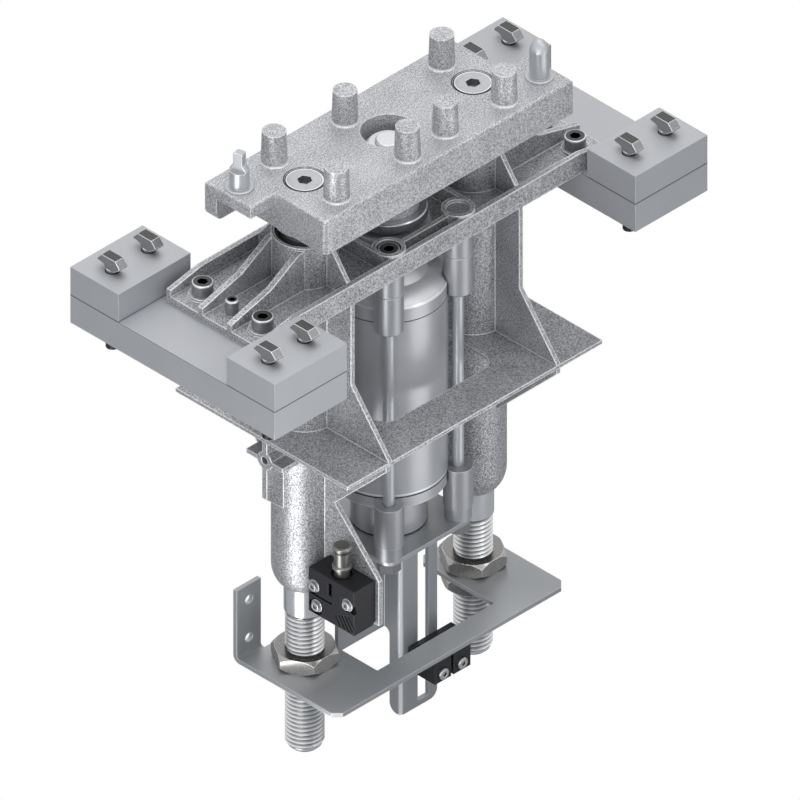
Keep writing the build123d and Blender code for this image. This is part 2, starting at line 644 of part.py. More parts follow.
def base_casting():
    half_y = FLOOR_HALF_Y
    casting = box(-FLOOR_HALF_X, FLOOR_HALF_X, -half_y, half_y, FLOOR_BOTTOM, FLOOR_TOP)
    end_top = FLOOR_BOTTOM + BEAM_END_H
    slope_x = FLOOR_HALF_X - BEAM_SLOPE_X
    beam = [(-FLOOR_HALF_X, FLOOR_BOTTOM), (FLOOR_HALF_X, FLOOR_BOTTOM), (FLOOR_HALF_X, end_top),
            (slope_x, BEAM_TOP), (-slope_x, BEAM_TOP), (-FLOOR_HALF_X, end_top)]
    casting += slab_xz(beam, half_y - BEAM_T, half_y)
    casting += slab_xz(beam, -half_y, -half_y + BEAM_T)
    for shape in (web(), floor_end()):
        casting += shape
        casting += mirrored_x(shape)
    casting += flange()
    for side in (1, -1):
        casting += under_gusset(side)
    casting += mirrored_x(under_gusset(1))
    casting += sensor_arm()
    boss = end_boss(GUIDE_X)
    casting += boss
    casting += mirrored_x(boss)
    rib_half = GUSSET_T / 2
    for side in (1, -1):
        y = side * TIE_SPREAD
        casting += box(-TIE_SPREAD, TIE_SPREAD, y - rib_half, y + rib_half,
                       FLOOR_TOP - PAST, BEAM_TOP)
        x = side * (TIE_SPREAD + TIE_BOSS_D / 2 - rib_half)
        casting += box(x - rib_half, x + rib_half, -TIE_SPREAD, TIE_SPREAD,
                       FLOOR_TOP - PAST, BEAM_TOP + rib_half)
    for sx, sy in CORNERS:
        casting += rod(TIE_BOSS_D, FLOOR_BOTTOM, TIE_BOSS_TOP, sx * TIE_SPREAD, sy * TIE_SPREAD)
    for side in (1, -1):
        casting += Pos(side * GUIDE_X, 0, 0) * housing_outside()
    for sx, sy in CORNERS:
        casting -= rod(M8_CLEAR_D, FLOOR_BOTTOM - PAST, SCREW_SEAT + PAST, sx * SCREW_X, sy * SCREW_Y)
    counterbore = rod(TIE_COUNTERBORE_D, TIE_SCREW_SEAT, TIE_BOSS_TOP + PAST)
    screw_hole = rod(M8_CLEAR_D, FLOOR_BOTTOM - PAST, TIE_BOSS_TOP + PAST)
    casting -= at_corners(counterbore + screw_hole, SCREWED_CORNERS)
    dish = rod(TIE_COUNTERBORE_D, TIE_BOSS_TOP - DISH_DEPTH, TIE_BOSS_TOP + PAST)
    stud_hole = rod(M8_D + 2 * THREAD_GAP, FLOOR_BOTTOM - PAST, TIE_STUD_TOP)
    casting -= at_corners(dish + stud_hole, STUDDED_CORNERS)
    for side in (1, -1):
        casting -= Pos(side * GUIDE_X, 0, 0) * housing_bore()
        casting -= rod(DOWEL_D + 2 * SEAT_GAP, FLOOR_BOTTOM - PAST, FLOOR_TOP + PAST,
                       side * DOWEL_X, 0)
    casting -= rod(FLOOR_HOLE_D, FLOOR_BOTTOM - PAST, FLOOR_TOP + PAST)
    for y, drop in ARM_SCREWS:
        casting -= rod_x(M4_D + 2 * THREAD_GAP, ARM_FACE_X - PAST, PAST - GUIDE_X, y, BLOCK_TOP - drop)
    return casting


def casting_cap_screws():
    length = SCREW_SEAT - CROSS_BOTTOM - SCREW_END_GAP
    screw = cap_screw(M8_HEAD_D, M8_HEAD_H, M8_SOCKET_AF, M8_D, length)
    return group([Pos(sx * SCREW_X, sy * SCREW_Y, SCREW_SEAT) * screw for sx, sy in CORNERS])


def dowel_pins():
    """Dowels with a pulling thread in their upper end."""
    pin = rod(DOWEL_D, CROSS_BOTTOM + SCREW_END_GAP, DOWEL_TOP)
    pin = chamfer(pin.edges().group_by(Axis.Z)[-1], EDGE)
    pin -= rod(M4_D, DOWEL_TOP - DOWEL_THREAD_DEPTH, DOWEL_TOP + PAST)
    return group([Pos(side * DOWEL_X, 0, 0) * pin for side in (-1, 1)])


def guide_bushes():
    bore_d = GUIDE_ROD_D + 2 * RUN_GAP
    outer_d = HOUSING_BORE_D - 2 * SEAT_GAP
    top = HOUSING_TOP - WIPER_H - WIPER_RECESS
    bottom = HOUSING_BOTTOM + HOUSING_LIP_T
    bushes = []
    for side in (-1, 1):
        for z0 in (top - BUSH_L, bottom):
            ring = rod(outer_d, z0, z0 + BUSH_L) - rod(bore_d, z0 - PAST, z0 + BUSH_L + PAST)
            bushes.append(Pos(side * GUIDE_X, 0, 0) * ring)
    return group(bushes)


def rod_wipers():
    """Rubber wiper in the top of each housing, its lip rising to the rod."""
    low = HOUSING_TOP - WIPER_H - WIPER_RECESS
    inner = GUIDE_ROD_D / 2 + PISTON_GAP
    lip = inner + WIPER_LIP_T
    outer = WIPER_D / 2
    top = low + WIPER_H
    ring = turned([(inner, low), (outer, low), (outer, top), (lip + WIPER_GROOVE_W, top),
                   (lip + WIPER_GROOVE_W / 2, top - WIPER_GROOVE_DEPTH), (lip, top), (inner, top)])
    return guide_pair(ring)


def tie_notches(z0, z1):
    return at_tie_rods(rod(SLEEVE_D + 2 * SLEEVE_GAP, z0, z1))


def cylinder_tube():
    tube = chamfer(rod(CYL_TUBE_D, TUBE_BOTTOM, TUBE_TOP).edges(), TUBE_EDGE)
    return tube - rod(CYL_BORE, TUBE_BOTTOM - PAST, TUBE_TOP + PAST)


def o_ring_groove(z):
    outer = CYL_BORE / 2 + PAST
    inner = CYL_BORE / 2 - O_RING_D - O_RING_GAP
    half = O_RING_D / 2
    return rod(2 * outer, z - half, z + half) - rod(2 * inner, z - O_RING_D, z + O_RING_D)


def cylinder_top_cap():
    """Domed cap whose neck holds the rod bush; its collar is centred in the casting's floor."""
    rim = CYL_TUBE_D / 2
    neck = CYL_NECK_D / 2
    plug = CYL_BORE / 2 - SEAT_GAP
    plug_bottom = TUBE_TOP - CYL_PLUG_H
    shoulder_z = CYL_TOP_Z + CYL_DOME_H
    side = Polyline((0, plug_bottom), (plug, plug_bottom), (plug, TUBE_TOP), (rim, TUBE_TOP),
                    (rim, CYL_TOP_Z - EDGE), (rim - EDGE, CYL_TOP_Z))
    dome = RadiusArc(side @ 1, (CYL_DOME_D / 2, shoulder_z), -rim)
    collar = FLOOR_HOLE_D / 2 - SEAT_GAP
    rest = Polyline(dome @ 1, (neck, shoulder_z + CYL_SHOULDER_H), (neck, FLOOR_BOTTOM),
                    (collar, FLOOR_BOTTOM), (collar, CYL_NECK_TOP - EDGE),
                    (collar - EDGE, CYL_NECK_TOP), (0, CYL_NECK_TOP), (0, plug_bottom))
    cap = revolve(Plane.XZ * make_face([side, dome, rest]), Axis.Z)
    cap -= tie_notches(TUBE_TOP, FLOOR_BOTTOM + PAST)
    bush_bottom = CYL_NECK_TOP - GLAND_SEAL_H - GLAND_BUSH_L
    cap -= rod(ROD_D + 2 * ROD_CLEARANCE, plug_bottom - PAST, CYL_NECK_TOP + PAST)
    cap -= rod(GLAND_BUSH_D, bush_bottom, CYL_NECK_TOP + PAST)
    cap -= o_ring_groove(TUBE_TOP - CYL_PLUG_H / 2)
    return cap - rod_y(PORT_D, rim - PORT_DEPTH, rim + PAST, 0, (TUBE_TOP + CYL_TOP_Z) / 2)


def cylinder_bottom_cap():
    """Lower cap with the round hub that stands on the bracket plate."""
    cap = rod(CYL_TUBE_D, CYL_CAP_BOTTOM, TUBE_BOTTOM)
    cap = chamfer(cap.edges(), TUBE_EDGE)
    cap += rod(CYL_BORE - 2 * SEAT_GAP, TUBE_BOTTOM, TUBE_BOTTOM + CYL_PLUG_H)
    cap += rod(CYL_HUB_D, BRACKET_TOP, CYL_CAP_BOTTOM)
    cap -= tie_notches(CYL_CAP_BOTTOM - PAST, TUBE_BOTTOM)
    cap -= o_ring_groove(TUBE_BOTTOM + CYL_PLUG_H / 2)
    hub_r = CYL_HUB_D / 2
    port_z = (CYL_CAP_BOTTOM + BRACKET_TOP) / 2
    cap -= rod_y(PORT_D, hub_r - PORT_DEPTH, hub_r + PAST, 0, port_z)
    return cap


def cylinder_o_rings():
    ring_r = CYL_BORE / 2 - O_RING_D / 2 - SEAT_GAP
    ring = Torus(ring_r, O_RING_D / 2 - SEAT_GAP)
    upper = TUBE_TOP - CYL_PLUG_H / 2
    lower = TUBE_BOTTOM + CYL_PLUG_H / 2
    return group([Pos(0, 0, upper) * ring, Pos(0, 0, lower) * ring])


def tie_nut_z(sx, sy):
    """Seat height of a tie rod's nut; the rail's tongue lies under one corner."""
    under_tongue = sx < 0 and sy > 0
    return BRACKET_BOTTOM - (SHEET_T if under_tongue else 0)


def tie_rods():
    top = FLOOR_BOTTOM - TIE_ROD_DROP
    rods = []
    for sx, sy in CORNERS:
        bottom = tie_nut_z(sx, sy) - M8_NUT_H - TIE_END
        rods.append(rod(TIE_D, bottom, top, sx * TIE_SPREAD, sy * TIE_SPREAD))
    return group(rods)


def tie_rod_nuts():
    nut = hex_nut(M8_NUT_AF, M8_NUT_H, TIE_D + 2 * THREAD_GAP)
    nuts = []
    for sx, sy in CORNERS:
        place = Pos(sx * TIE_SPREAD, sy * TIE_SPREAD, tie_nut_z(sx, sy) - M8_NUT_H)
        nuts.append(place * nut)
    return group(nuts)


def upper_sleeve():
    """Sleeve nut between a casting boss and its tie rod."""
    sleeve = rod(SLEEVE_D, TUBE_TOP, FLOOR_BOTTOM)
    sleeve = chamfer(sleeve.edges().group_by(Axis.Z)[0], EDGE)
    line_z = FLOOR_BOTTOM - SLEEVE_LINE_DROP
    line = rod(SLEEVE_D + PAST, line_z - SLEEVE_LINE_W, line_z)
    sleeve -= line - rod(SLEEVE_D - SLEEVE_LINE_W, line_z - SLEEVE_LINE_W - PAST, line_z + PAST)
    sleeve -= rod(TIE_D + 2 * THREAD_GAP, TUBE_TOP - PAST, FLOOR_BOTTOM)
    tap_bottom = FLOOR_BOTTOM - SLEEVE_TAP_DEPTH
    return sleeve - rod(M8_D + 2 * THREAD_GAP, tap_bottom, FLOOR_BOTTOM + PAST)


def lower_sleeve():
    """Spacer sleeve from the tube's lower end to the bracket plate, with a turned step."""
    step_z = BRACKET_TOP + LOWER_SLEEVE_STEP
    sleeve = rod(SLEEVE_D, step_z, TUBE_BOTTOM) + rod(LOWER_SLEEVE_STEP_D, BRACKET_TOP, step_z)
    return sleeve - rod(TIE_D + 2 * THREAD_GAP, BRACKET_TOP - PAST, TUBE_BOTTOM + PAST)


def cylinder_cap_screws():
    screw = cap_screw(M8_HEAD_D, M8_HEAD_H, M8_SOCKET_AF, M8_D, CYL_SCREW_L)
    return at_corners(Pos(0, 0, TIE_SCREW_SEAT) * screw, SCREWED_CORNERS)


def cylinder_studs():
    """Studs between the other two bosses and their sleeves."""
    stud_bar = rod(M8_D, FLOOR_BOTTOM - SLEEVE_TAP_DEPTH + PAST, TIE_STUD_TOP)
    return at_corners(stud_bar, STUDDED_CORNERS)


def rod_gland_bush():
    bottom = CYL_NECK_TOP - GLAND_SEAL_H - GLAND_BUSH_L
    outer_d = GLAND_BUSH_D - 2 * SEAT_GAP
    ring = rod(outer_d, bottom, bottom + GLAND_BUSH_L)
    return ring - rod(ROD_D + 2 * RUN_GAP, bottom - PAST, bottom + GLAND_BUSH_L + PAST)


def rod_gland_seal():
    low = CYL_NECK_TOP - GLAND_SEAL_H
    outer = GLAND_BUSH_D / 2 - SEAT_GAP
    inner = ROD_D / 2 + PISTON_GAP
    lip_top = CYL_NECK_TOP + GLAND_SEAL_LIP_H
    return turned([(inner, low), (outer, low), (outer, CYL_NECK_TOP),
                   (inner + GLAND_SEAL_LIP_T, CYL_NECK_TOP), (inner + GLAND_SEAL_LIP_T, lip_top),
                   (inner, lip_top)])


def cylinder_bracket():
    half = BRACKET_HALF
    plate = box(-half, half, -half, half, BRACKET_BOTTOM, BRACKET_TOP)
    plate = fillet(plate.edges().filter_by(Axis.Z), half - TIE_SPREAD)
    return plate - at_tie_rods(rod(TIE_D + 2 * THREAD_GAP, BRACKET_BOTTOM - PAST, BRACKET_TOP + PAST))


def near(vertex, x, y):
    return abs(vertex.X - x) < FIND and abs(vertex.Y - y) < FIND


def rail_band():
    """Plan view of the rail's bent sheet, as a band of the sheet's thickness."""
    t = SHEET_T
    outline = Polyline((RAIL_LEFT, RAIL_BACK_Y), (RAIL_BEND_X, RAIL_BACK_Y),
                       (RAIL_BEND_X, RAIL_FRONT_Y), (RAIL_RIGHT, RAIL_FRONT_Y),
                       (RAIL_RIGHT, RAIL_FRONT_Y + t), (RAIL_BEND_X + t, RAIL_FRONT_Y + t),
                       (RAIL_BEND_X + t, RAIL_BACK_Y + t), (RAIL_LEFT, RAIL_BACK_Y + t),
                       close=True)
    band = make_face(outline)
    outer = [v for v in band.vertices() if near(v, RAIL_BEND_X, RAIL_FRONT_Y)
             or near(v, RAIL_BEND_X + t, RAIL_BACK_Y + t)]
    band = fillet(outer, RAIL_BEND_R)
    inner = [v for v in band.vertices() if near(v, RAIL_BEND_X + t, RAIL_FRONT_Y + t)
             or near(v, RAIL_BEND_X, RAIL_BACK_Y)]
    return fillet(inner, RAIL_BEND_R - t)


def sensor_rail():
    """Bent sheet hung under the bracket plate: tongue, back panel and slotted strip."""
    rail = Pos(0, 0, RAIL_BOTTOM) * extrude(rail_band(), BRACKET_BOTTOM - RAIL_BOTTOM)
    tongue = box(RAIL_LEFT, RAIL_BEND_X, RAIL_BACK_Y, RAIL_TONGUE_Y,
                 BRACKET_BOTTOM - SHEET_T, BRACKET_BOTTOM)
    tongue = fillet(tongue.edges().filter_by(Axis.Z).group_by(Axis.Y)[-1], SHEET_T)
    rail += tongue
    strip_back = RAIL_FRONT_Y + RAIL_FLANGE_DEPTH
    waste = box(RAIL_LEFT - PAST, RAIL_BEND_X + SHEET_T + PAST, strip_back, RAIL_TONGUE_Y,
                RAIL_BOTTOM - PAST, RAIL_BACK_BOTTOM)
    shoulder = waste.edges().filter_by(Axis.X).group_by(Axis.Z)[-1].sort_by(Axis.Y)[0]
    waste = fillet(shoulder, RAIL_FILLET)
    rail -= waste
    rail -= box(RAIL_SLOT_X - RAIL_SLOT_W / 2, RAIL_SLOT_X + RAIL_SLOT_W / 2,
                RAIL_FRONT_Y - PAST, RAIL_FRONT_Y + SHEET_T + PAST, RAIL_SLOT_BOTTOM, RAIL_SLOT_TOP)
    along_y = rail.edges().filter_by(Axis.Y)
    right = along_y.filter_by_position(Axis.X, RAIL_RIGHT - FIND, RAIL_RIGHT + FIND)
    rail = fillet(right.group_by(Axis.Z)[0], RAIL_CORNER_R)
    along_x = rail.edges().filter_by(Axis.X)
    back = along_x.filter_by_position(Axis.Y, strip_back - FIND, strip_back + FIND)
    rail = fillet(back.group_by(Axis.Z)[0], RAIL_CORNER_R)
    rail -= rod(TIE_D + 2 * THREAD_GAP, BRACKET_BOTTOM - SHEET_T - PAST, BRACKET_BOTTOM + PAST,
                -TIE_SPREAD, TIE_SPREAD)
    return rail


def rail_clamp():
    """Slit clamp block that holds a sensor on the rail's front face."""
    front = RAIL_FRONT_Y - CLAMP_DEPTH
    bottom = CLAMP_TOP - CLAMP_H
    block = box(CLAMP_LEFT, CLAMP_RIGHT, front, RAIL_FRONT_Y, bottom, CLAMP_TOP)
    block += box(CLAMP_BASE_LEFT, CLAMP_LEFT + PAST, RAIL_FRONT_Y - CLAMP_BASE_T, RAIL_FRONT_Y,
                 CLAMP_TOP - CLAMP_BASE_H, CLAMP_TOP)
    block -= box(CLAMP_SLIT_X - CLAMP_SLIT_W / 2, CLAMP_SLIT_X + CLAMP_SLIT_W / 2, front - PAST,
                 front + CLAMP_SLIT_DEPTH, bottom - PAST, CLAMP_TOP + PAST)
    sensor_y = (front + RAIL_FRONT_Y) / 2
    block -= rod_x(RAIL_SENSOR_D + 2 * SEAT_GAP, CLAMP_LEFT - PAST, CLAMP_RIGHT + PAST,
                   sensor_y, RAIL_SENSOR_Z)
    for x in (RAIL_SLOT_X, CLAMP_SCREW_X):
        block -= rod_y(M4_D + 2 * THREAD_GAP, front - PAST, RAIL_FRONT_Y + PAST, x, CLAMP_SCREW_Z)
        block -= rod_y(CLAMP_SCREW_HEAD_D + 2 * SLEEVE_GAP, front - PAST, front + CLAMP_SEAT_DEPTH,
                       x, CLAMP_SCREW_Z)
    return block


def rail_clamp_screws():
    """Screw into the slide nut behind the slot, and the pinch screw beside it."""
    seat_y = RAIL_FRONT_Y - CLAMP_DEPTH + CLAMP_SEAT_DEPTH
    slot_screw_l = CLAMP_DEPTH - CLAMP_SEAT_DEPTH + SHEET_T + SLIDE_NUT_T
    screws = []
    for x, length in ((RAIL_SLOT_X, slot_screw_l), (CLAMP_SCREW_X, CLAMP_SCREW_L)):
        head = rod(CLAMP_SCREW_HEAD_D, 0, CLAMP_SCREW_HEAD_H)
        head = fillet(head.edges().group_by(Axis.Z)[-1], CLAMP_SEAT_DEPTH)
        screw = head + rod(M4_D, -length, 0)
        screw -= hex_socket(CLAMP_SCREW_SOCKET_AF, CLAMP_SCREW_SOCKET_DEPTH, CLAMP_SCREW_HEAD_H)
        screws.append(Pos(x, seat_y, CLAMP_SCREW_Z) * Rot(90, 0, 0) * screw)
    return group(screws)


def slide_nut():
    """Square nut behind the rail's slot."""
    y0 = RAIL_FRONT_Y + SHEET_T
    half = SLIDE_NUT_W / 2
    plate = box(RAIL_SLOT_X - half, RAIL_SLOT_X + half, y0, y0 + SLIDE_NUT_T,
                CLAMP_SCREW_Z - half, CLAMP_SCREW_Z + half)
    return plate - rod_y(M4_D + 2 * THREAD_GAP, y0 - PAST, y0 + SLIDE_NUT_T + PAST, RAIL_SLOT_X,
                         CLAMP_SCREW_Z)


def rail_sensor():
    y = RAIL_FRONT_Y - CLAMP_DEPTH / 2
    return rod_x(RAIL_SENSOR_D, CLAMP_LEFT - RAIL_SENSOR_PROUD, CLAMP_RIGHT + RAIL_SENSOR_PROUD,
                 y, RAIL_SENSOR_Z)


def sensor_block():
    """Black clamp block on the arm, with its pinch slit and sensor hole."""
    outer_x = ARM_FACE_X - BLOCK_DEPTH_X
    bottom = BLOCK_TOP - BLOCK_H
    block = box(outer_x, ARM_FACE_X, BLOCK_FRONT_Y, BLOCK_BACK_Y, bottom, BLOCK_TOP)
    low_edges = block.edges().filter_by(Axis.Y).group_by(Axis.Z)[0]
    block = chamfer(low_edges.sort_by(Axis.X)[-1], BLOCK_CHAMFER)
    sensor_x = (outer_x + ARM_FACE_X) / 2
    sensor_hole_d = BLOCK_SENSOR_D + 2 * SEAT_GAP
    block -= rod(sensor_hole_d, bottom - PAST, BLOCK_TOP + PAST, sensor_x, BLOCK_SENSOR_Y)
    block -= rod(BLOCK_CUP_D, BLOCK_TOP - BLOCK_CUP_DEPTH, BLOCK_TOP + PAST, sensor_x, BLOCK_SENSOR_Y)
    slit_z = BLOCK_TOP - BLOCK_SLIT_Z
    block -= box(outer_x - PAST, ARM_FACE_X + PAST, BLOCK_BACK_Y - BLOCK_SLIT_L, BLOCK_BACK_Y + PAST,
                 slit_z - BLOCK_SLIT_W / 2, slit_z + BLOCK_SLIT_W / 2)
    for y, drop in ARM_SCREWS:
        z = BLOCK_TOP - drop
        block -= rod_x(M4_D + 2 * THREAD_GAP, outer_x - PAST, ARM_FACE_X + PAST, y, z)
        block -= rod_x(ARM_WASHER_D + 2 * SLEEVE_GAP, outer_x - PAST, outer_x + ARM_SCREW_SEAT, y, z)
    return block


def arm_clamp_washers():
    x0 = ARM_FACE_X - BLOCK_DEPTH_X + ARM_SCREW_SEAT
    rings = []
    for y, drop in ARM_SCREWS:
        z = BLOCK_TOP - drop
        ring = rod_x(ARM_WASHER_D, x0 - ARM_WASHER_T, x0, y, z)
        rings.append(ring - rod_x(M4_D + 2 * THREAD_GAP, x0 - ARM_WASHER_T - PAST, x0 + PAST, y, z))
    return group(rings)


def arm_clamp_screws():
    seat_x = ARM_FACE_X - BLOCK_DEPTH_X + ARM_SCREW_SEAT - ARM_WASHER_T
    length = BLOCK_DEPTH_X - ARM_SCREW_SEAT + ARM_WASHER_T + ARM_T - SLEEVE_GAP
    screws = []
    for y, drop in ARM_SCREWS:
        head = rod(ARM_SCREW_HEAD_D, 0, ARM_SCREW_HEAD_H)
        head = fillet(head.edges().group_by(Axis.Z)[-1], ARM_SCREW_EDGE_R)
        screw = head + rod(M4_D, -length, 0)
        screw -= hex_socket(ARM_SCREW_SOCKET_AF, ARM_SCREW_SOCKET_DEPTH, ARM_SCREW_HEAD_H)
        screws.append(Pos(seat_x, y, BLOCK_TOP - drop) * Rot(0, -90, 0) * screw)
    return group(screws)


def arm_sensor():
    """Turned sensor body with its plug end above the block."""
    body = BLOCK_SENSOR_D / 2
    head = SENSOR_HEAD_D / 2
    ring = SENSOR_RING_D / 2
    top = BLOCK_TOP + SENSOR_TOP
    ring_z = BLOCK_TOP + SENSOR_RING_Z
    bottom = BLOCK_TOP - BLOCK_H - SENSOR_PROUD
    sensor = turned([(0, bottom), (body, bottom), (body, ring_z), (ring, ring_z),
                     (ring, ring_z + SENSOR_RING_H), (body, ring_z + SENSOR_RING_H),
                     (body, top - SENSOR_HEAD_H - SENSOR_CONE_H), (head, top - SENSOR_HEAD_H),
                     (head, top - EDGE), (head - EDGE, top), (0, top)])
    return Pos(ARM_FACE_X - BLOCK_DEPTH_X / 2, BLOCK_SENSOR_Y, 0) * sensor


def plate_wall(side):
    """Side wall of the top plate, reaching along the ear on its side."""
    x0 = -PLATE_HALF_X - (EAR_REACH if side > 0 else 0)
    x1 = PLATE_HALF_X + (EAR_REACH if side < 0 else 0)
    y0, y1 = sorted((side * PLATE_HALF_Y, side * (PLATE_HALF_Y - PLATE_WALL_T)))
    wall = box(x0, x1, y0, y1, PLATE_WALL_BOTTOM, PLATE_UNDER)
    if side < 0:
        return wall
    ear_end = wall.edges().filter_by(Axis.Y).group_by(Axis.Z)[0].sort_by(Axis.X)[0]
    return fillet(ear_end, PLATE_WALL_CORNER_R)


def plate_end_wall(side):
    x0, x1 = sorted((side * PLATE_HALF_X, side * (PLATE_HALF_X - PLATE_WALL_T)))
    return box(x0, x1, -PLATE_HALF_Y, PLATE_HALF_Y, PLATE_WALL_BOTTOM, PLATE_UNDER)


def stud():
    """Tapered cast rest boss with a rounded foot."""
    top = PLATE_TOP + STUD_H
    base = STUD_BASE_D / 2
    taper = Polyline((0, PLATE_TOP - PAST), (base + STUD_FOOT_R, PLATE_TOP - PAST),
                     (base + STUD_FOOT_R, PLATE_TOP))
    foot = RadiusArc(taper @ 1, (base, PLATE_TOP + STUD_FOOT_R), STUD_FOOT_R)
    side = Polyline((base, PLATE_TOP + STUD_FOOT_R), (STUD_TOP_D / 2, top), (0, top),
                    (0, PLATE_TOP - PAST))
    return revolve(Plane.XZ * make_face([taper, foot, side]), Axis.Z)


def top_plate():
    """Ribbed lifting plate with its ears, rest bosses and rod sockets."""
    plan = Rectangle(2 * PLATE_HALF_X, 2 * PLATE_HALF_Y)
    ear_y = PLATE_HALF_Y - EAR_INNER_Y
    for side in (1, -1):
        middle = (PLATE_HALF_Y + EAR_INNER_Y) / 2
        ear = Pos(-side * (PLATE_HALF_X + EAR_REACH / 2), side * middle) * Rectangle(EAR_REACH, ear_y)
        plan += ear
    corners = [v for v in plan.vertices() if near(v, -PLATE_HALF_X, -PLATE_HALF_Y)
               or near(v, PLATE_HALF_X, PLATE_HALF_Y)]
    plan = fillet(corners, PLATE_CORNER_R)
    skin = Pos(0, 0, PLATE_UNDER) * extrude(plan, PLATE_SKIN)
    skin = fillet(skin.edges().group_by(Axis.Z)[-1], PLATE_EDGE_R)
    walls = plate_wall(1) + plate_wall(-1) + plate_end_wall(1) + plate_end_wall(-1)
    inside_plan = Pos(0, 0, PLATE_WALL_BOTTOM) * extrude(plan, PLATE_UNDER - PLATE_WALL_BOTTOM)
    plate = skin + (walls & inside_plan)
    for side in (1, -1):
        plate += rod(ROD_BOSS_D, ROD_BOSS_BOTTOM, PLATE_UNDER + PAST, side * GUIDE_X, 0)
    plate += rod(CENTRE_BOSS_D, DISC_TOP, PLATE_UNDER + PAST)
    for x, y in STUD_PLACES:
        plate += Pos(x, y, 0) * stud()
    for side in (1, -1):
        x = side * GUIDE_X
        socket_d = GUIDE_ROD_D + 2 * SEAT_GAP
        plate -= rod(socket_d, ROD_BOSS_BOTTOM - PAST, ROD_TOP, x, 0)
        plate -= rod(M12_D + 2 * THREAD_GAP, ROD_TOP - PAST, PLATE_TOP + PAST, x, 0)
        sink = turned([(0, ROD_TOP), (M12_D / 2, PLATE_TOP - (COUNTERSINK_D - M12_D) / 2),
                       (COUNTERSINK_D / 2, PLATE_TOP), (COUNTERSINK_D / 2, PLATE_TOP + PAST),
                       (0, PLATE_TOP + PAST)])
        plate -= Pos(x, 0, 0) * sink
    plate -= rod(CENTRE_RECESS_D, NUT_RECESS_FLOOR, PLATE_TOP + PAST)
    plate -= rod(M16_D + 2 * THREAD_GAP, DISC_TOP - PAST, PLATE_TOP + PAST)
    for x, y in (ROUND_PIN, FLAT_PIN):
        plate -= rod(PIN_D + 2 * SEAT_GAP, PLATE_UNDER - PAST, PLATE_TOP + PAST, x, y)
    return plate


def pin_foot():
    """Shank and collar shared by both locating pins, standing on the plate."""
    shank = rod(PIN_D, PLATE_UNDER - PIN_SHANK_BELOW, PLATE_TOP + PIN_COLLAR_H)
    collar = rod(PIN_COLLAR_D, PLATE_TOP, PLATE_TOP + PIN_COLLAR_H)
    collar = chamfer(collar.edges().group_by(Axis.Z)[-1], PIN_COLLAR_CHAMFER)
    return shank + collar


def round_locating_pin():
    """Bullet-nosed pin."""
    r = PIN_D / 2
    start = PLATE_TOP
    shoulder = PLATE_TOP + PIN_STRAIGHT
    top = PLATE_TOP + PIN_H
    side = Polyline((0, start), (r, start), (r, shoulder))
    nose = RadiusArc(side @ 1, (PIN_TIP_R, top), -PIN_D)
    rest = Polyline((PIN_TIP_R, top), (0, top), (0, start))
    pin = revolve(Plane.XZ * make_face([side, nose, rest]), Axis.Z)
    return Pos(*ROUND_PIN, 0) * (pin + pin_foot())


def flat_locating_pin():
    """Pin whose upper half is a narrow blade; the flats go down past its cone."""
    cone_foot = PLATE_TOP + FLAT_PIN_ROUND_H
    cone_top = cone_foot + FLAT_PIN_CONE_H
    lower = turned([(0, PLATE_TOP), (PIN_D / 2, PLATE_TOP), (PIN_D / 2, cone_foot),
                    (FLAT_PIN_CONE_D / 2, cone_top), (0, cone_top)])
    half_x = FLAT_PIN_BLADE_X / 2
    half_y = FLAT_PIN_BLADE_Y / 2
    blade = box(-half_x, half_x, -half_y, half_y, PLATE_TOP, PLATE_TOP + FLAT_PIN_H)
    blade = chamfer(blade.edges().filter_by(Axis.X).group_by(Axis.Z)[-1], FLAT_PIN_CREST)
    for x0, x1 in ((half_x, PIN_D), (-PIN_D, -half_x)):
        lower -= box(x0, x1, -PIN_D, PIN_D, cone_foot - FLAT_PIN_FLAT_DROP, cone_top + PAST)
    return Pos(*FLAT_PIN, 0) * Rot(0, 0, FLAT_PIN_TURN) * (lower + blade + pin_foot())


def countersunk_screws():
    head_r = M12_HEAD_D / 2
    cone = head_r - M12_D / 2
    top = PLATE_TOP - (COUNTERSINK_D - M12_HEAD_D) / 2 + SEAT_GAP
    screw = turned([(0, top - M12_SCREW_L), (M12_D / 2, top - M12_SCREW_L),
                    (M12_D / 2, top - cone), (head_r, top), (0, top)])
    screw -= hex_socket(M12_SOCKET_AF, M12_SOCKET_DEPTH, top)
    return guide_pair(screw)


def guide_rod():
    shaft = rod(GUIDE_ROD_D, GUIDE_THREAD_TOP, ROD_TOP)
    shaft = chamfer(shaft.edges().group_by(Axis.Z)[-1], EDGE)
    thread = rod(M24_D, GUIDE_ROD_BOTTOM, GUIDE_THREAD_TOP)
    thread = chamfer(thread.edges().group_by(Axis.Z)[0], GUIDE_ROD_CHAMFER)
    tap_bottom = PLATE_TOP - M12_SCREW_L - M12_TAP_EXTRA
    tapped = rod(M12_D + 2 * THREAD_GAP, tap_bottom, ROD_TOP + PAST)
    return shaft + thread - tapped


def piston_rod():
    """Polished rod with a threaded top end and a stud for the piston."""
    shaft = rod(ROD_D, PISTON_TOP, DISC_BOTTOM)
    stud_end = rod(PISTON_STUD_D, PISTON_BOTTOM + PISTON_NUT_SINK, PISTON_TOP)
    thread = rod(M16_D, DISC_BOTTOM, ROD_END_TOP)
    thread = chamfer(thread.edges().group_by(Axis.Z)[-1], EDGE)
    return shaft + stud_end + thread


def rod_disc():
    disc = rod(DISC_D, DISC_BOTTOM, DISC_TOP)
    disc = chamfer(disc.edges().group_by(Axis.Z)[-1], EDGE)
    return disc - rod(M16_D + 2 * THREAD_GAP, DISC_BOTTOM - PAST, DISC_TOP + PAST)


def rod_end_nut():
    nut = hex_nut(M16_NUT_AF, M16_NUT_H, M16_D + 2 * THREAD_GAP)
    return Pos(0, 0, NUT_RECESS_FLOOR) * nut


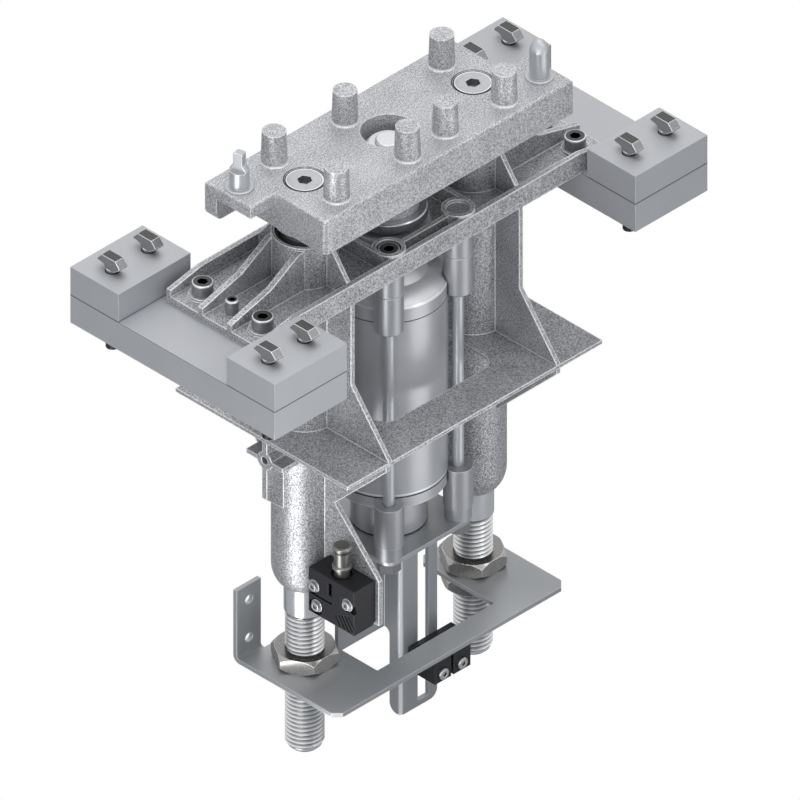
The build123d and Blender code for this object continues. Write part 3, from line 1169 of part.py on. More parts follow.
def seal_grooves(gap):
    """Bands of the piston's two seals, each smaller than its groove by the gap."""
    outer_d = CYL_BORE - 2 * PISTON_GAP
    inner_d = outer_d - 2 * PISTON_SEAL_DEPTH + 2 * gap
    half = PISTON_SEAL_H / 2 - gap
    bands = []
    for step in (-0.5, 0.5):
        z = PISTON_BOTTOM + PISTON_H / 2 + step * PISTON_SEAL_PITCH
        bands.append(rod(outer_d, z - half, z + half) - rod(inner_d, z - half - PAST, z + half + PAST))
    return group(bands)


def piston():
    body = rod(CYL_BORE - 2 * PISTON_GAP, PISTON_BOTTOM, PISTON_TOP)
    body -= seal_grooves(0)
    body -= rod(PISTON_STUD_D + 2 * THREAD_GAP, PISTON_BOTTOM - PAST, PISTON_TOP + PAST)
    recess_top = PISTON_BOTTOM + PISTON_NUT_SINK + PISTON_NUT_H
    return body - rod(PISTON_RECESS_D, PISTON_BOTTOM - PAST, recess_top)


def piston_nut():
    nut = hex_nut(PISTON_NUT_AF, PISTON_NUT_H, PISTON_STUD_D + 2 * THREAD_GAP)
    return Pos(0, 0, PISTON_BOTTOM + PISTON_NUT_SINK) * nut


def connecting_plate():
    """U-shaped sheet that ties the rods together, with its upturned switching tab."""
    c = LINK_CHAMFER
    tab_right = LINK_LEFT + TAB_WIDTH
    gap_x = LINK_GAP_HALF_X
    plan = make_face(Polyline(
        (LINK_LEFT + c, LINK_FRONT), (LINK_RIGHT - c, LINK_FRONT), (LINK_RIGHT, LINK_FRONT + c),
        (LINK_RIGHT, LINK_BACK - c), (LINK_RIGHT - c, LINK_BACK), (gap_x + c, LINK_BACK),
        (gap_x, LINK_BACK - c), (gap_x, LINK_GAP_FRONT), (-gap_x, LINK_GAP_FRONT),
        (-gap_x, LINK_BACK - c), (-gap_x - c, LINK_BACK), (tab_right, LINK_BACK),
        (LINK_LEFT, LINK_BACK), (LINK_LEFT, LINK_FRONT + c), close=True))
    plate = Pos(0, 0, LINK_BOTTOM) * extrude(plan, SHEET_T)
    outer_y = TAB_FRONT_Y + SHEET_T
    fold = box(LINK_LEFT, tab_right, LINK_BACK - PAST, outer_y, LINK_BOTTOM, TAB_TOP)
    fold -= box(LINK_LEFT - PAST, tab_right + PAST, LINK_BACK - 2 * PAST, TAB_FRONT_Y,
                LINK_TOP, TAB_TOP + PAST)
    outer_edge = fold.edges().filter_by(Axis.X).group_by(Axis.Z)[0].sort_by(Axis.Y)[-1]
    fold = fillet(outer_edge, TAB_BEND_R)
    inner_edge = fold.edges().filter_by(Axis.X).filter_by_position(
        Axis.Y, TAB_FRONT_Y - FIND, TAB_FRONT_Y + FIND).sort_by(Axis.Z)[0]
    fold = fillet(inner_edge, TAB_BEND_R - SHEET_T)
    plate += fold
    for step in (0, 1):
        z = TAB_TOP - TAB_HOLE_DROP - step * TAB_HOLE_PITCH
        plate -= rod_y(TAB_HOLE_D, TAB_FRONT_Y - PAST, outer_y + PAST, LINK_LEFT + TAB_HOLE_X, z)
    for side in (1, -1):
        plate -= rod(M24_D + 2 * THREAD_GAP, LINK_BOTTOM - PAST, LINK_TOP + PAST, side * GUIDE_X, 0)
    return plate


def lock_nuts(z):
    nut = hex_nut(M24_NUT_AF, M24_NUT_H, M24_D + 2 * THREAD_GAP)
    return guide_pair(Pos(0, 0, z) * nut)


def build():
    right_plate = cross_plate()
    rod_shape = guide_rod()
    return {
        "base_casting": base_casting(),
        "right_cross_plate": right_plate,
        "left_cross_plate": mirrored_x(right_plate),
        "spacer_blocks": spacer_blocks(),
        "conveyor_t_bolts": at_t_bolts(t_bolt()),
        "t_bolt_washers": at_t_bolts(t_bolt_washer()),
        "t_bolt_nuts": at_t_bolts(t_bolt_nut()),
        "casting_cap_screws": casting_cap_screws(),
        "dowel_pins": dowel_pins(),
        "guide_bushes": guide_bushes(),
        "rod_wipers": rod_wipers(),
        "cylinder_tube": cylinder_tube(),
        "cylinder_top_cap": cylinder_top_cap(),
        "cylinder_bottom_cap": cylinder_bottom_cap(),
        "cylinder_o_rings": cylinder_o_rings(),
        "tie_rods": tie_rods(),
        "tie_rod_nuts": tie_rod_nuts(),
        "upper_tie_rod_sleeves": at_tie_rods(upper_sleeve()),
        "lower_tie_rod_sleeves": at_tie_rods(lower_sleeve()),
        "cylinder_cap_screws": cylinder_cap_screws(),
        "cylinder_studs": cylinder_studs(),
        "rod_gland_bush": rod_gland_bush(),
        "rod_gland_seal": rod_gland_seal(),
        "cylinder_bracket": cylinder_bracket(),
        "sensor_rail": sensor_rail(),
        "rail_sensor_clamp": rail_clamp(),
        "rail_clamp_screws": rail_clamp_screws(),
        "rail_slide_nut": slide_nut(),
        "rail_sensor": rail_sensor(),
        "arm_sensor_block": sensor_block(),
        "arm_clamp_washers": arm_clamp_washers(),
        "arm_clamp_screws": arm_clamp_screws(),
        "arm_sensor": arm_sensor(),
        "top_plate": top_plate(),
        "round_locating_pin": round_locating_pin(),
        "flat_locating_pin": flat_locating_pin(),
        "countersunk_screws": countersunk_screws(),
        "left_guide_rod": Pos(-GUIDE_X, 0, 0) * rod_shape,
        "right_guide_rod": Pos(GUIDE_X, 0, 0) * rod_shape,
        "piston_rod": piston_rod(),
        "rod_disc": rod_disc(),
        "rod_end_nut": rod_end_nut(),
        "piston": piston(),
        "piston_seals": seal_grooves(SEAT_GAP),
        "piston_nut": piston_nut(),
        "connecting_plate": connecting_plate(),
        "upper_lock_nuts": lock_nuts(LINK_TOP),
        "lower_lock_nuts": lock_nuts(LINK_BOTTOM - M24_NUT_H),
    }


os.makedirs("parts", exist_ok=True)
for node, shape in build().items():
    export_step(shape, f"parts/{node}.step")
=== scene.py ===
import math
import bpy
from mathutils import Matrix, Vector


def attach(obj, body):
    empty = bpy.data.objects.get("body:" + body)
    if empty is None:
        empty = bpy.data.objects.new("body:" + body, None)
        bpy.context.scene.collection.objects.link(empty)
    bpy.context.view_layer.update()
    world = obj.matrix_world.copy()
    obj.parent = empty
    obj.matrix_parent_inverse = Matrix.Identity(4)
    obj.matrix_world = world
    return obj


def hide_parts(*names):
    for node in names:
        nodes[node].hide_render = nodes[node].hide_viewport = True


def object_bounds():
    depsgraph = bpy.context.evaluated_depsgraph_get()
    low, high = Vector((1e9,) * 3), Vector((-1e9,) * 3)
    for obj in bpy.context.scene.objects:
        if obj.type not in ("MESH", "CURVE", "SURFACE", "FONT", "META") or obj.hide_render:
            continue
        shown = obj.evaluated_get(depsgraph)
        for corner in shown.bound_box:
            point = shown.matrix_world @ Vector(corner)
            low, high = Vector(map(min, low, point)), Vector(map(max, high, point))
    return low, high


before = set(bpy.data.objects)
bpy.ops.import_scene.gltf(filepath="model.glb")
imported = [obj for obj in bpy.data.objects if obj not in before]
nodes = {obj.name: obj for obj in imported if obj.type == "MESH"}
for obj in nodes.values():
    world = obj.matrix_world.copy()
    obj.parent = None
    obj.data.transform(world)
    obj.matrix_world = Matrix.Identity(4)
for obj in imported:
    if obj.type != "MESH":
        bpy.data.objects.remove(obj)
cad_low, cad_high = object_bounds()


# Camera.
# It looks along the isometric diagonal, as a catalogue drawing does, with no perspective.
aim = Vector((0.00462, -0.00462, -0.1434))    # what the middle of the picture shows
camera_distance = 1.6
picture_width = 0.4706
bpy.ops.object.camera_add(location=aim + Vector((-1, -1, 1)).normalized() * camera_distance)
camera = bpy.context.object
camera.rotation_euler = (aim - camera.location).to_track_quat("-Z", "Y").to_euler()
camera.data.type = "ORTHO"
camera.data.ortho_scale = picture_width
bpy.context.scene.camera = camera
bpy.context.scene.view_settings.view_transform = "Standard"


# Cast frame and lifting plate.
# Both are sand-cast aluminium, left with the mould's grain on every face that isn't machined.
# The frame is screwed onto the cross plates; the plate is screwed onto the two guide rods.
class Wire:
    """One output of a shader node. Arithmetic on it adds Math nodes."""

    def __init__(self, socket):
        self.socket = socket

    def node(self, kind, settings=None, inputs=None, output=0):
        """Adds a node: its settings first, then the values or wires of its sockets."""
        made = self.socket.id_data.nodes.new(kind)
        for name, value in (settings or {}).items():
            setattr(made, name, value)
        for name, value in (inputs or {}).items():
            if isinstance(value, Wire):
                self.socket.id_data.links.new(value.socket, made.inputs[name])
            else:
                made.inputs[name].default_value = value
        return Wire(made.outputs[output])

    def math(self, operation, first, second=0.0):
        return self.node("ShaderNodeMath", {"operation": operation}, {0: first, 1: second})

    def __add__(self, other):
        return self.math("ADD", self, other)

    __radd__ = __add__

    def __mul__(self, other):
        return self.math("MULTIPLY", self, other)

    __rmul__ = __mul__

    def __sub__(self, other):
        return self.math("SUBTRACT", self, other)

    def __rsub__(self, other):
        return self.math("SUBTRACT", other, self)

    def __truediv__(self, other):
        return self.math("DIVIDE", self, other)

    def __abs__(self):
        return self.math("ABSOLUTE", self)


def new_finish(name, **plain):
    """A material, its shader node, and a wire with the place on the piece in metres."""
    material = bpy.data.materials.new(name)
    material.use_nodes = True
    shader = material.node_tree.nodes["Principled BSDF"]
    place = material.node_tree.nodes.new("ShaderNodeTexCoord")
    for socket, value in plain.items():
        shader.inputs[socket.replace("_", " ")].default_value = value
    return material, shader, Wire(place.outputs["Object"])


def feed(shader, **wires):
    for name, wire in wires.items():
        shader.id_data.links.new(wire.socket, shader.inputs[name.replace("_", " ")])


def noise(place, size, detail=2.0, rough=0.5):
    """Cloudy value from 0 to 1 whose lumps are about size metres across."""
    return place.node("ShaderNodeTexNoise", None, {"Vector": place, "Scale": 1 / size,
                      "Detail": detail, "Roughness": rough})


def stretch(value, low, high, to_low=0.0, to_high=1.0):
    """The value's range from low to high spread over to_low to to_high, and clamped there."""
    return value.node("ShaderNodeMapRange", None, {"Value": value, "From Min": low,
                      "From Max": high, "To Min": to_low, "To Max": to_high})


def rounded(place, radius):
    """Normal of the face as if its edges were broken by this radius."""
    return place.node("ShaderNodeBevel", {"samples": 8}, {"Radius": radius})


def dot(place, first, second):
    return place.node("ShaderNodeVectorMath", {"operation": "DOT_PRODUCT"},
                      {0: first, 1: second}, "Value")


def face_normal(place):
    return place.node("ShaderNodeNewGeometry", None, None, "Normal")


def edge_highlight(place, radius, full=0.86):
    """0 on open faces and 1 on outer edges, where a highlight is painted."""
    return stretch(dot(place, rounded(place, radius), face_normal(place)), 0.992, full)


def coordinate(place, axis):
    return place.node("ShaderNodeSeparateXYZ", None, {0: place}, axis)


def facing_up(place, low=0.75, high=0.97):
    """1 on faces that look upwards and 0 on walls."""
    return stretch(coordinate(face_normal(place), "Z"), low, high)


def facing_down(place):
    """1 on faces that look well downwards."""
    return facing_up(place, -0.3, -0.6)


def crevice(place, reach):
    """1 in corners, gaps and sockets with metal nearer than reach, 0 in the open; it masks painted
    shade.
    """
    free = place.node("ShaderNodeAmbientOcclusion", {"samples": 8}, {"Distance": reach}, "AO")
    return stretch(free, 0.72, 0.3)


def level_line(place, level, half_width):
    """1 on a thin line round the piece at one height."""
    return stretch(abs(coordinate(place, "Z") - level), half_width, half_width * 0.6)


def from_axes(place, x, y):
    """Distance to the nearest of the upright axes at plus and minus x and y."""
    step = abs(coordinate(place, "X")) - x
    stride = abs(coordinate(place, "Y")) - y
    return place.math("SQRT", step * step + stride * stride)


def blend_tones(mask, low, high):
    return mask.node("ShaderNodeMix", {"data_type": "RGBA", "clamp_factor": True},
                     {"Factor": mask, 6: low if isinstance(low, Wire) else (*low, 1),
                      7: high if isinstance(high, Wire) else (*high, 1)}, 2)


def darker(tone, share):
    return tuple(part * share for part in tone)


def paint(material, *names):
    for name in names:
        mesh = nodes[name].data
        mesh.materials.clear()
        mesh.materials.append(material)


guide_x = 0.07                # guide rods, to either side of the middle
screw_gap = 0.0131, 0.0128    # painted shadow in the gap round the countersunk screws, outer and inner radius
boss_foot_z = 0.0514          # foot of the rest bosses, where a highlight is painted
black = (0.012, 0.012, 0.013)


def cast_finish(name, dark_tone, light_tone, edge_tone, plate_rim):
    """Sand-cast skin: fine dark and bright grains, soft clouds, painted edge highlights, painted
    corner shade.

    With a plate_rim of 1 the gap round the heads of the two countersunk screws gets painted
    shadow, and the rest bosses a painted highlight at their foot.
    """
    material, shader, place = new_finish(name, Metallic=0.45)
    grain = noise(place, 0.0009, 2.0, 0.6)
    fine = noise(place, 0.0005, 1.0)
    cloud = noise(place, 0.02, 3.0)
    speckle = stretch(grain * 0.55 + fine * 0.45, 0.42, 0.58)
    skin = blend_tones(speckle + (cloud - 0.5) * 0.5, dark_tone, light_tone)
    # Painted shade in corners and crevices.
    crevice_shaded = blend_tones(crevice(place, 0.005) * 0.4, skin, darker(dark_tone, 0.4))
    # Painted shadow in the gap round the countersunk screws' heads.
    gap = stretch(from_axes(place, guide_x, 0), *screw_gap) * facing_up(place) * plate_rim
    # Painted highlight at the foot of the rest bosses.
    foot = level_line(place, boss_foot_z, 0.0008) * plate_rim
    # Painted highlight on the edges, broken up by the grain.
    edge_glint = edge_highlight(place, 0.0013, 0.95) * stretch(grain, 0.3, 0.5, 0.5, 1.0)
    edge = edge_glint * (1 - 0.5 * plate_rim) + foot
    feed(shader, Base_Color=blend_tones(gap, blend_tones(edge, crevice_shaded, edge_tone), black),
         Roughness=stretch(grain, 0.3, 0.7, 0.56, 0.34),
         Normal=place.node("ShaderNodeBump", None, {"Height": grain + fine * 0.4,
                           "Distance": 0.0003, "Strength": 0.55, "Normal": rounded(place, 0.0007)}))
    return material


paint(cast_finish("cast frame", (0.19, 0.192, 0.20), (0.73, 0.735, 0.76),
                  (0.97, 0.975, 0.99), 0), "base_casting")
paint(cast_finish("cast lifting plate", (0.26, 0.262, 0.272), (0.79, 0.795, 0.82),
                  (0.93, 0.935, 0.95), 1), "top_plate")


# Cross plates and spacer blocks.
# Aluminium plate, milled on all faces, with the fine even satin of a face cutter.
# The blocks are clamped between the cross plates and the conveyor's beams.
block_joint_z = -0.020
milled, shader, place = new_finish("milled plate", Metallic=0.3)
satin = noise(place, 0.0006, 1.0)
cloud = noise(place, 0.04, 2.0)
shade = blend_tones(cloud * 0.6 + satin * 0.5, (0.41, 0.422, 0.448), (0.52, 0.532, 0.558))
# Painted light: tops lighter than the walls, standing for light from above.
shade = blend_tones(facing_up(place) * 0.35, shade, (0.70, 0.71, 0.73))
# Painted shade in corners and crevices.
crevice_shaded = blend_tones(crevice(place, 0.004) * 0.5, shade, (0.10, 0.10, 0.11))
# Painted highlight on the edges.
lit_edge = blend_tones(edge_highlight(place, 0.0005) * 0.5, crevice_shaded, (0.75, 0.77, 0.80))
seam = level_line(place, block_joint_z, 0.00045) * (1 - facing_up(place))
feed(shader, Base_Color=blend_tones(seam, lit_edge, (0.06, 0.06, 0.065)),
     Roughness=stretch(satin, 0.3, 0.7, 0.42, 0.52), Normal=rounded(place, 0.0004))
paint(milled, "left_cross_plate", "right_cross_plate", "spacer_blocks")


# Clamping bolts, washers and nuts of the conveyor mounting.
# Forged steel hammer heads; their flanks are painted lighter and their tops darker, standing for
# the light each reflects.
# Each bolt passes through block and cross plate and ends in a washer and a nut.
bolt_thread_foot = -0.0545    # height where the bolts' ridges start
# Below this height the bolts' ends are painted black, standing for shade.
bolt_black_below = -0.035


def steel_finish(name, wall_tone, top_tone, edge_tone, roughness, metallic=0.7,
                 edge_r=0.0006, edge_full=0.86, black_below=-1.0):
    """Plain steel whose upward faces are painted darker than its walls, standing for the light they
    reflect; painted black under one height, standing for shade.
    """
    material, shader, place = new_finish(name, Metallic=metallic)
    wear = noise(place, 0.004, 3.0)
    fine = noise(place, 0.0005, 1.0)
    wall = blend_tones(wear * 0.6 + fine * 0.4, darker(wall_tone, 0.85), wall_tone)
    # Painted shade: upward faces darker than the walls.
    face = blend_tones(facing_up(place), wall, top_tone)
    # Painted shade in crevices.
    deep = blend_tones(crevice(place, 0.003), face, (0.008, 0.008, 0.009))
    # Painted highlight on the edges.
    edge_lit_tone = blend_tones(edge_highlight(place, edge_r, edge_full), deep, edge_tone)
    # Painted shade: black below black_below.
    low_end = stretch(coordinate(place, "Z"), black_below + 0.001, black_below)
    feed(shader, Base_Color=blend_tones(low_end, edge_lit_tone, black),
         Roughness=stretch(fine + wear * 0.5, 0.4, 1.1, roughness - 0.05, roughness + 0.08),
         Normal=rounded(place, 0.0004))
    return material


paint(steel_finish("forged bolt steel", (0.34, 0.345, 0.35), (0.09, 0.09, 0.092),
                   (0.95, 0.955, 0.96), 0.3, edge_r=0.0008, edge_full=0.95,
                   black_below=bolt_black_below), "conveyor_t_bolts")
dark_nut = steel_finish("dark nut steel", (0.06, 0.06, 0.064), (0.06, 0.06, 0.064),
                        (0.10, 0.10, 0.105), 0.55, metallic=0.1)
paint(dark_nut, "t_bolt_washers", "t_bolt_nuts")


def only(piece):
    """Makes this the one selected and active object."""
    bpy.ops.object.select_all(action="DESELECT")
    piece.select_set(True)
    bpy.context.view_layer.objects.active = piece


def settle(piece, name, material, body, smooth=30):
    """Puts the piece's place into its mesh, turns its faces outwards and lets it ride on a body."""
    only(piece)
    bpy.ops.object.transform_apply(location=True, rotation=True, scale=True)
    bpy.ops.object.mode_set(mode="EDIT")
    bpy.ops.mesh.select_all(action="SELECT")
    bpy.ops.mesh.normals_make_consistent(inside=False)
    bpy.ops.object.mode_set(mode="OBJECT")
    bpy.ops.object.shade_smooth_by_angle(angle=math.radians(smooth))
    piece.name = name
    piece.data.materials.clear()
    piece.data.materials.append(material)
    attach(piece, body)


def twin(piece, place):
    """Copy with its own mesh, moved to a place and not yet settled."""
    copy = piece.copy()
    copy.data = piece.data.copy()
    bpy.context.collection.objects.link(copy)
    copy.matrix_world = Matrix.Translation(place)
    return copy


def thread_ridge(major_r, depth, pitch, turns, steps=36):
    """Helical ridge of a thread that starts at Z = 0 and climbs round the Z axis."""
    corner_r = pitch * 0.54    # the ridge's section is a triangle, 1.5 times this across
    bpy.ops.object.select_all(action="DESELECT")
    bpy.ops.mesh.primitive_circle_add(vertices=3, radius=corner_r, fill_type="NOTHING")
    ridge = bpy.context.object
    ridge.matrix_world = Matrix(((0, 1, 0, 0), (0, 0, 1, 0), (1, 0, 0, 0), (0, 0, 0, 1)))
    bpy.ops.object.transform_apply(location=False, rotation=True, scale=False)
    bpy.ops.object.mode_set(mode="EDIT")
    bpy.ops.mesh.select_all(action="SELECT")
    bpy.ops.transform.resize(value=(depth / (corner_r * 1.5), 1, 1), center_override=(0, 0, 0))
    bpy.ops.transform.translate(value=(major_r - depth * 2 / 3, 0, 0))
    bpy.ops.object.mode_set(mode="OBJECT")
    coil = ridge.modifiers.new("coil", "SCREW")
    coil.axis = "Z"
    coil.screw_offset = pitch
    coil.iterations = turns
    coil.steps = steps
    coil.render_steps = steps
    bpy.ops.object.modifier_apply(modifier="coil")
    bpy.ops.object.mode_set(mode="EDIT")
    bpy.ops.mesh.select_all(action="SELECT")
    bpy.ops.mesh.fill_holes(sides=3)
    bpy.ops.object.mode_set(mode="OBJECT")
    return ridge


bolt_thread = thread_ridge(0.00412, 0.0006, 0.00125, 5)
bolt_places = [(x, y) for x in (-0.165, -0.135, 0.135, 0.165) for y in (-0.065, 0.065)]
for number, (x, y) in enumerate(bolt_places, 1):
    settle(twin(bolt_thread, (x, y, bolt_thread_foot)), "clamp_bolt_thread_%d" % number,
           dark_nut, "base", 50)
bpy.data.objects.remove(bolt_thread)


# Cap screws and dowel pins.
# Black-oxide steel, with a highlight painted on the rim round the head's top.
# Four screws and two pins hold the cast frame to the cross plates; two screws hold the cylinder.
def head_finish(node, x, y, socket_r, rim_r):
    """Black-oxide head with painted shade in its socket and a painted highlight on its rim.

    The heads stand at plus and minus x and y.
    """
    material, shader, place = new_finish(node + " black oxide", Metallic=0.5)
    top = max(corner.co.z for corner in nodes[node].data.vertices)
    wear = noise(place, 0.004, 3.0)
    wall = blend_tones(wear, (0.24, 0.245, 0.255), (0.36, 0.37, 0.385))
    # Painted shade: the top darker than the walls.
    face = blend_tones(facing_up(place), wall, (0.075, 0.076, 0.08))
    height, radius = coordinate(place, "Z"), from_axes(place, x, y)
    # Painted shade in the socket.
    socket = (stretch(height, top - 0.0002, top - 0.0004)
              * stretch(radius, socket_r + 0.0003, socket_r))
    # Painted highlight on the rim round the top.
    rim = (stretch(radius, rim_r - 0.0004, rim_r - 0.0002)
           * stretch(height, top - 0.0013, top - 0.0010))
    rimmed = blend_tones(rim, face, (0.82, 0.83, 0.85))
    feed(shader, Base_Color=blend_tones(socket, rimmed, (0.006, 0.006, 0.007)),
         Roughness=stretch(wear, 0.3, 0.7, 0.3, 0.4), Normal=rounded(place, 0.0003))
    paint(material, node)


head_finish("casting_cap_screws", x=0.130, y=0.025, socket_r=0.0042, rim_r=0.0060)
head_finish("cylinder_cap_screws", x=0.0288, y=0.0288, socket_r=0.0042, rim_r=0.0060)
head_finish("dowel_pins", x=0.1305, y=0.0, socket_r=0.0024, rim_r=0.0034)


# Turned and ground steel parts.
# Bright steel with the faint rings that a lathe leaves.
# The cylinder's rod, the pins, tie rods and studs, the disc and three nuts are made this way.
# Tone of painted highlights.
highlight_white = (0.92, 0.93, 0.95)


def turned_finish(name, dark_tone, light_tone, roughness, metallic=0.75, ring=0.0006,
                  lines=(), highlight_above=1.0):
    """Turned metal: faint rings across the axis, painted highlights on edges, painted shade in
    crevices.

    Each line is a joint or lip round the piece: its height, half width and tone. Above
    highlight_above a highlight is painted; faces looking down are painted dark as shade.
    """
    material, shader, place = new_finish(name, Metallic=metallic)
    squeeze = place.node("ShaderNodeMapping", None, {"Vector": place, "Scale": (0.02, 0.02, 1)})
    rings = noise(squeeze, ring, 2.0)
    wear = noise(place, 0.012, 2.0)
    shade = blend_tones(rings * 0.25 + wear * 0.6, dark_tone, light_tone)
    # Painted shade in crevices.
    crevice_shade_tone = blend_tones(crevice(place, 0.003) * 0.8, shade, darker(dark_tone, 0.2))
    # Painted highlight on the edges.
    tone = blend_tones(edge_highlight(place, 0.0006) * 0.9, crevice_shade_tone, highlight_white)
    # Painted highlight above highlight_above.
    top = stretch(coordinate(place, "Z"), highlight_above, highlight_above + 0.0005)
    tone = blend_tones(top, tone, highlight_white)
    for level, half_width, line_tone in lines:
        tone = blend_tones(level_line(place, level, half_width), tone, line_tone)
    # Painted shade on faces looking down.
    tone = blend_tones(facing_down(place), tone, (0.03, 0.03, 0.032))
    feed(shader, Base_Color=tone,
         Roughness=stretch(wear, 0.3, 0.7, roughness - 0.02, roughness + 0.03),
         Normal=rounded(place, 0.0004))
    return material


steel = turned_finish("turned steel", (0.42, 0.43, 0.46), (0.62, 0.63, 0.66), 0.24)
satin_steel = turned_finish("satin steel", (0.50, 0.515, 0.54), (0.64, 0.655, 0.68), 0.36, 0.5)
chromed = turned_finish("chromed rod", (0.80, 0.81, 0.83), (0.90, 0.905, 0.92), 0.26, 0.5)
# Painted light: the rod end nut sits in shade in its recess, so its steel is painted near white.
nut_painted_light = turned_finish("nut steel painted light", (0.86, 0.87, 0.89), (0.96, 0.965, 0.98), 0.4, 0.3)
paint(steel, "rod_disc", "piston_nut", "rail_slide_nut")
paint(satin_steel, "round_locating_pin", "flat_locating_pin", "tie_rods", "cylinder_studs")
paint(chromed, "piston_rod")
paint(nut_painted_light, "rod_end_nut")


# Countersunk screws of the guide rods.
# M12 steel, flush with the lifting plate; the chamfered edge of each head carries a painted
# highlight.
# Painted shadow fills the gap between the head and the countersink.
socket_mouth_z = 0.0502
flush_steel, shader, place = new_finish("countersunk screw steel", Metallic=0.7)
radius = from_axes(place, guide_x, 0)
wear = noise(place, 0.004, 3.0)
shade = blend_tones(wear, (0.50, 0.51, 0.525), (0.58, 0.59, 0.605))
# Painted highlight on the head's edge.
ring = stretch(radius, 0.0104, 0.0106)
# Painted shadow in the gap round the head.
gap = stretch(radius, 0.0112, 0.0114)
# Painted shade in the socket.
socket = (stretch(coordinate(place, "Z"), socket_mouth_z, socket_mouth_z - 0.0003)
          * stretch(radius, 0.0056, 0.0053))
face = blend_tones(ring, shade, (0.90, 0.91, 0.93))
head = blend_tones(socket, face, (0.30, 0.305, 0.32))
feed(shader, Base_Color=blend_tones(gap, head, (0.008, 0.008, 0.009)),
     Roughness=stretch(wear, 0.3, 0.7, 0.26, 0.36), Normal=rounded(place, 0.0003))
paint(flush_steel, "countersunk_screws")


# Guide rods.
# Hardened and ground steel, 25 mm across, with an M24 thread cut on the lower end.
# They run in the frame's housings and carry the lifting plate and the connecting plate.
def turned_piece(centre, profile, sides=96):
    """Solid built up ring by ring from (radius, z) steps."""
    radius, level = profile[0]
    bpy.ops.object.select_all(action="DESELECT")
    bpy.ops.mesh.primitive_circle_add(vertices=sides, radius=radius, fill_type="NGON",
                                      location=(*centre, level))
    bpy.ops.object.mode_set(mode="EDIT")
    bpy.ops.mesh.select_all(action="SELECT")
    for next_radius, next_level in profile[1:]:
        bpy.ops.mesh.extrude_region_move(
            TRANSFORM_OT_translate={"value": (0, 0, next_level - level)})
        share = next_radius / radius
        bpy.ops.transform.resize(value=(share, share, 1), center_override=(*centre, next_level))
        radius, level = next_radius, next_level
    bpy.ops.object.mode_set(mode="OBJECT")
    return bpy.context.object


rod_r, thread_root_r, thread_crest_r = 0.0125, 0.0103, 0.0118
rod_profile = [(0.0085, -0.356), (thread_root_r, -0.3542), (thread_root_r, -0.2595),
               (0.0122, -0.2575), (rod_r, -0.2570), (rod_r, 0.0377), (0.0117, 0.0385)]
ground_steel = turned_finish("ground steel", (0.66, 0.67, 0.69), (0.80, 0.81, 0.83), 0.24)
thread_steel, shader, place = new_finish("thread steel", Metallic=0.6)
# Painted highlight on the crests and painted shade in the roots.
depth = stretch(from_axes(place, guide_x, 0), 0.0107, 0.0114)
wear = noise(place, 0.003, 2.0)
root = blend_tones(wear, (0.34, 0.345, 0.36), (0.46, 0.465, 0.48))
crest = blend_tones(wear, (0.86, 0.87, 0.89), (0.98, 0.985, 1.0))
ridges = blend_tones(depth, root, crest)
# Painted shade on faces looking down.
feed(shader, Base_Color=blend_tones(facing_down(place), ridges, (0.05, 0.05, 0.052)),
     Roughness=stretch(wear, 0.3, 0.7, 0.30, 0.38))
rod_thread = thread_ridge(thread_crest_r, 0.0014, 0.003, 31, 40)
for side, end in ((-1, "left"), (1, "right")):
    bar = turned_piece((side * guide_x, 0), rod_profile)
    settle(bar, end + "_guide_bar", ground_steel, "lift")
    ridge = twin(rod_thread, (side * guide_x, 0, -0.353))
    settle(ridge, end + "_rod_thread", thread_steel, "lift", 50)
    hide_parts(end + "_guide_rod")
bpy.data.objects.remove(rod_thread)


# Lock nuts.
# Plain M24 steel nuts with a warm, slightly oily skin; wrench flats are painted brighter than the
# tops, standing for the light they reflect.
# One above and one below on each rod clamp the connecting plate.
nut_steel = steel_finish("lock nut steel", (0.46, 0.45, 0.43), (0.31, 0.305, 0.295),
                         (0.95, 0.94, 0.92), 0.24, metallic=0.75, edge_r=0.0009)
paint(nut_steel, "upper_lock_nuts", "lower_lock_nuts")


# Cylinder, with its caps and sleeves.
# Anodised aluminium, turned all over; four tie rods clamp the caps onto the tube.
# The sleeves on the tie rods' ends hang it under the frame and carry the bracket plate.
# Lips carry a painted highlight; joints are dark lines.
joint, lip = (0.03, 0.03, 0.033), (0.97, 0.975, 0.98)
# Above this height the top cap is painted with a highlight.
dome_top_z = -0.0532
cylinder_lines = ((-0.0538, 0.0009, lip), (-0.0635, 0.0005, joint), (-0.1879, 0.0008, lip),
                  (-0.1895, 0.0006, joint), (-0.1972, 0.0007, lip), (-0.2260, 0.0007, joint))
cylinder_skin = turned_finish("turned aluminium", (0.50, 0.51, 0.535), (0.60, 0.61, 0.64), 0.30,
                              metallic=0.35, ring=0.0009, lines=cylinder_lines,
                              highlight_above=dome_top_z)
sleeve_skin = turned_finish("sleeve aluminium", (0.38, 0.39, 0.415), (0.46, 0.47, 0.495), 0.40,
                            metallic=0.5, ring=0.0009)
tie_nut_steel = steel_finish("tie rod nut steel", (0.24, 0.245, 0.255), (0.24, 0.245, 0.255),
                             (0.40, 0.41, 0.42), 0.5, metallic=0.0)
paint(cylinder_skin, "cylinder_tube", "cylinder_top_cap", "cylinder_bottom_cap", "piston")
paint(sleeve_skin, "upper_tie_rod_sleeves", "lower_tie_rod_sleeves")
paint(tie_nut_steel, "tie_rod_nuts")


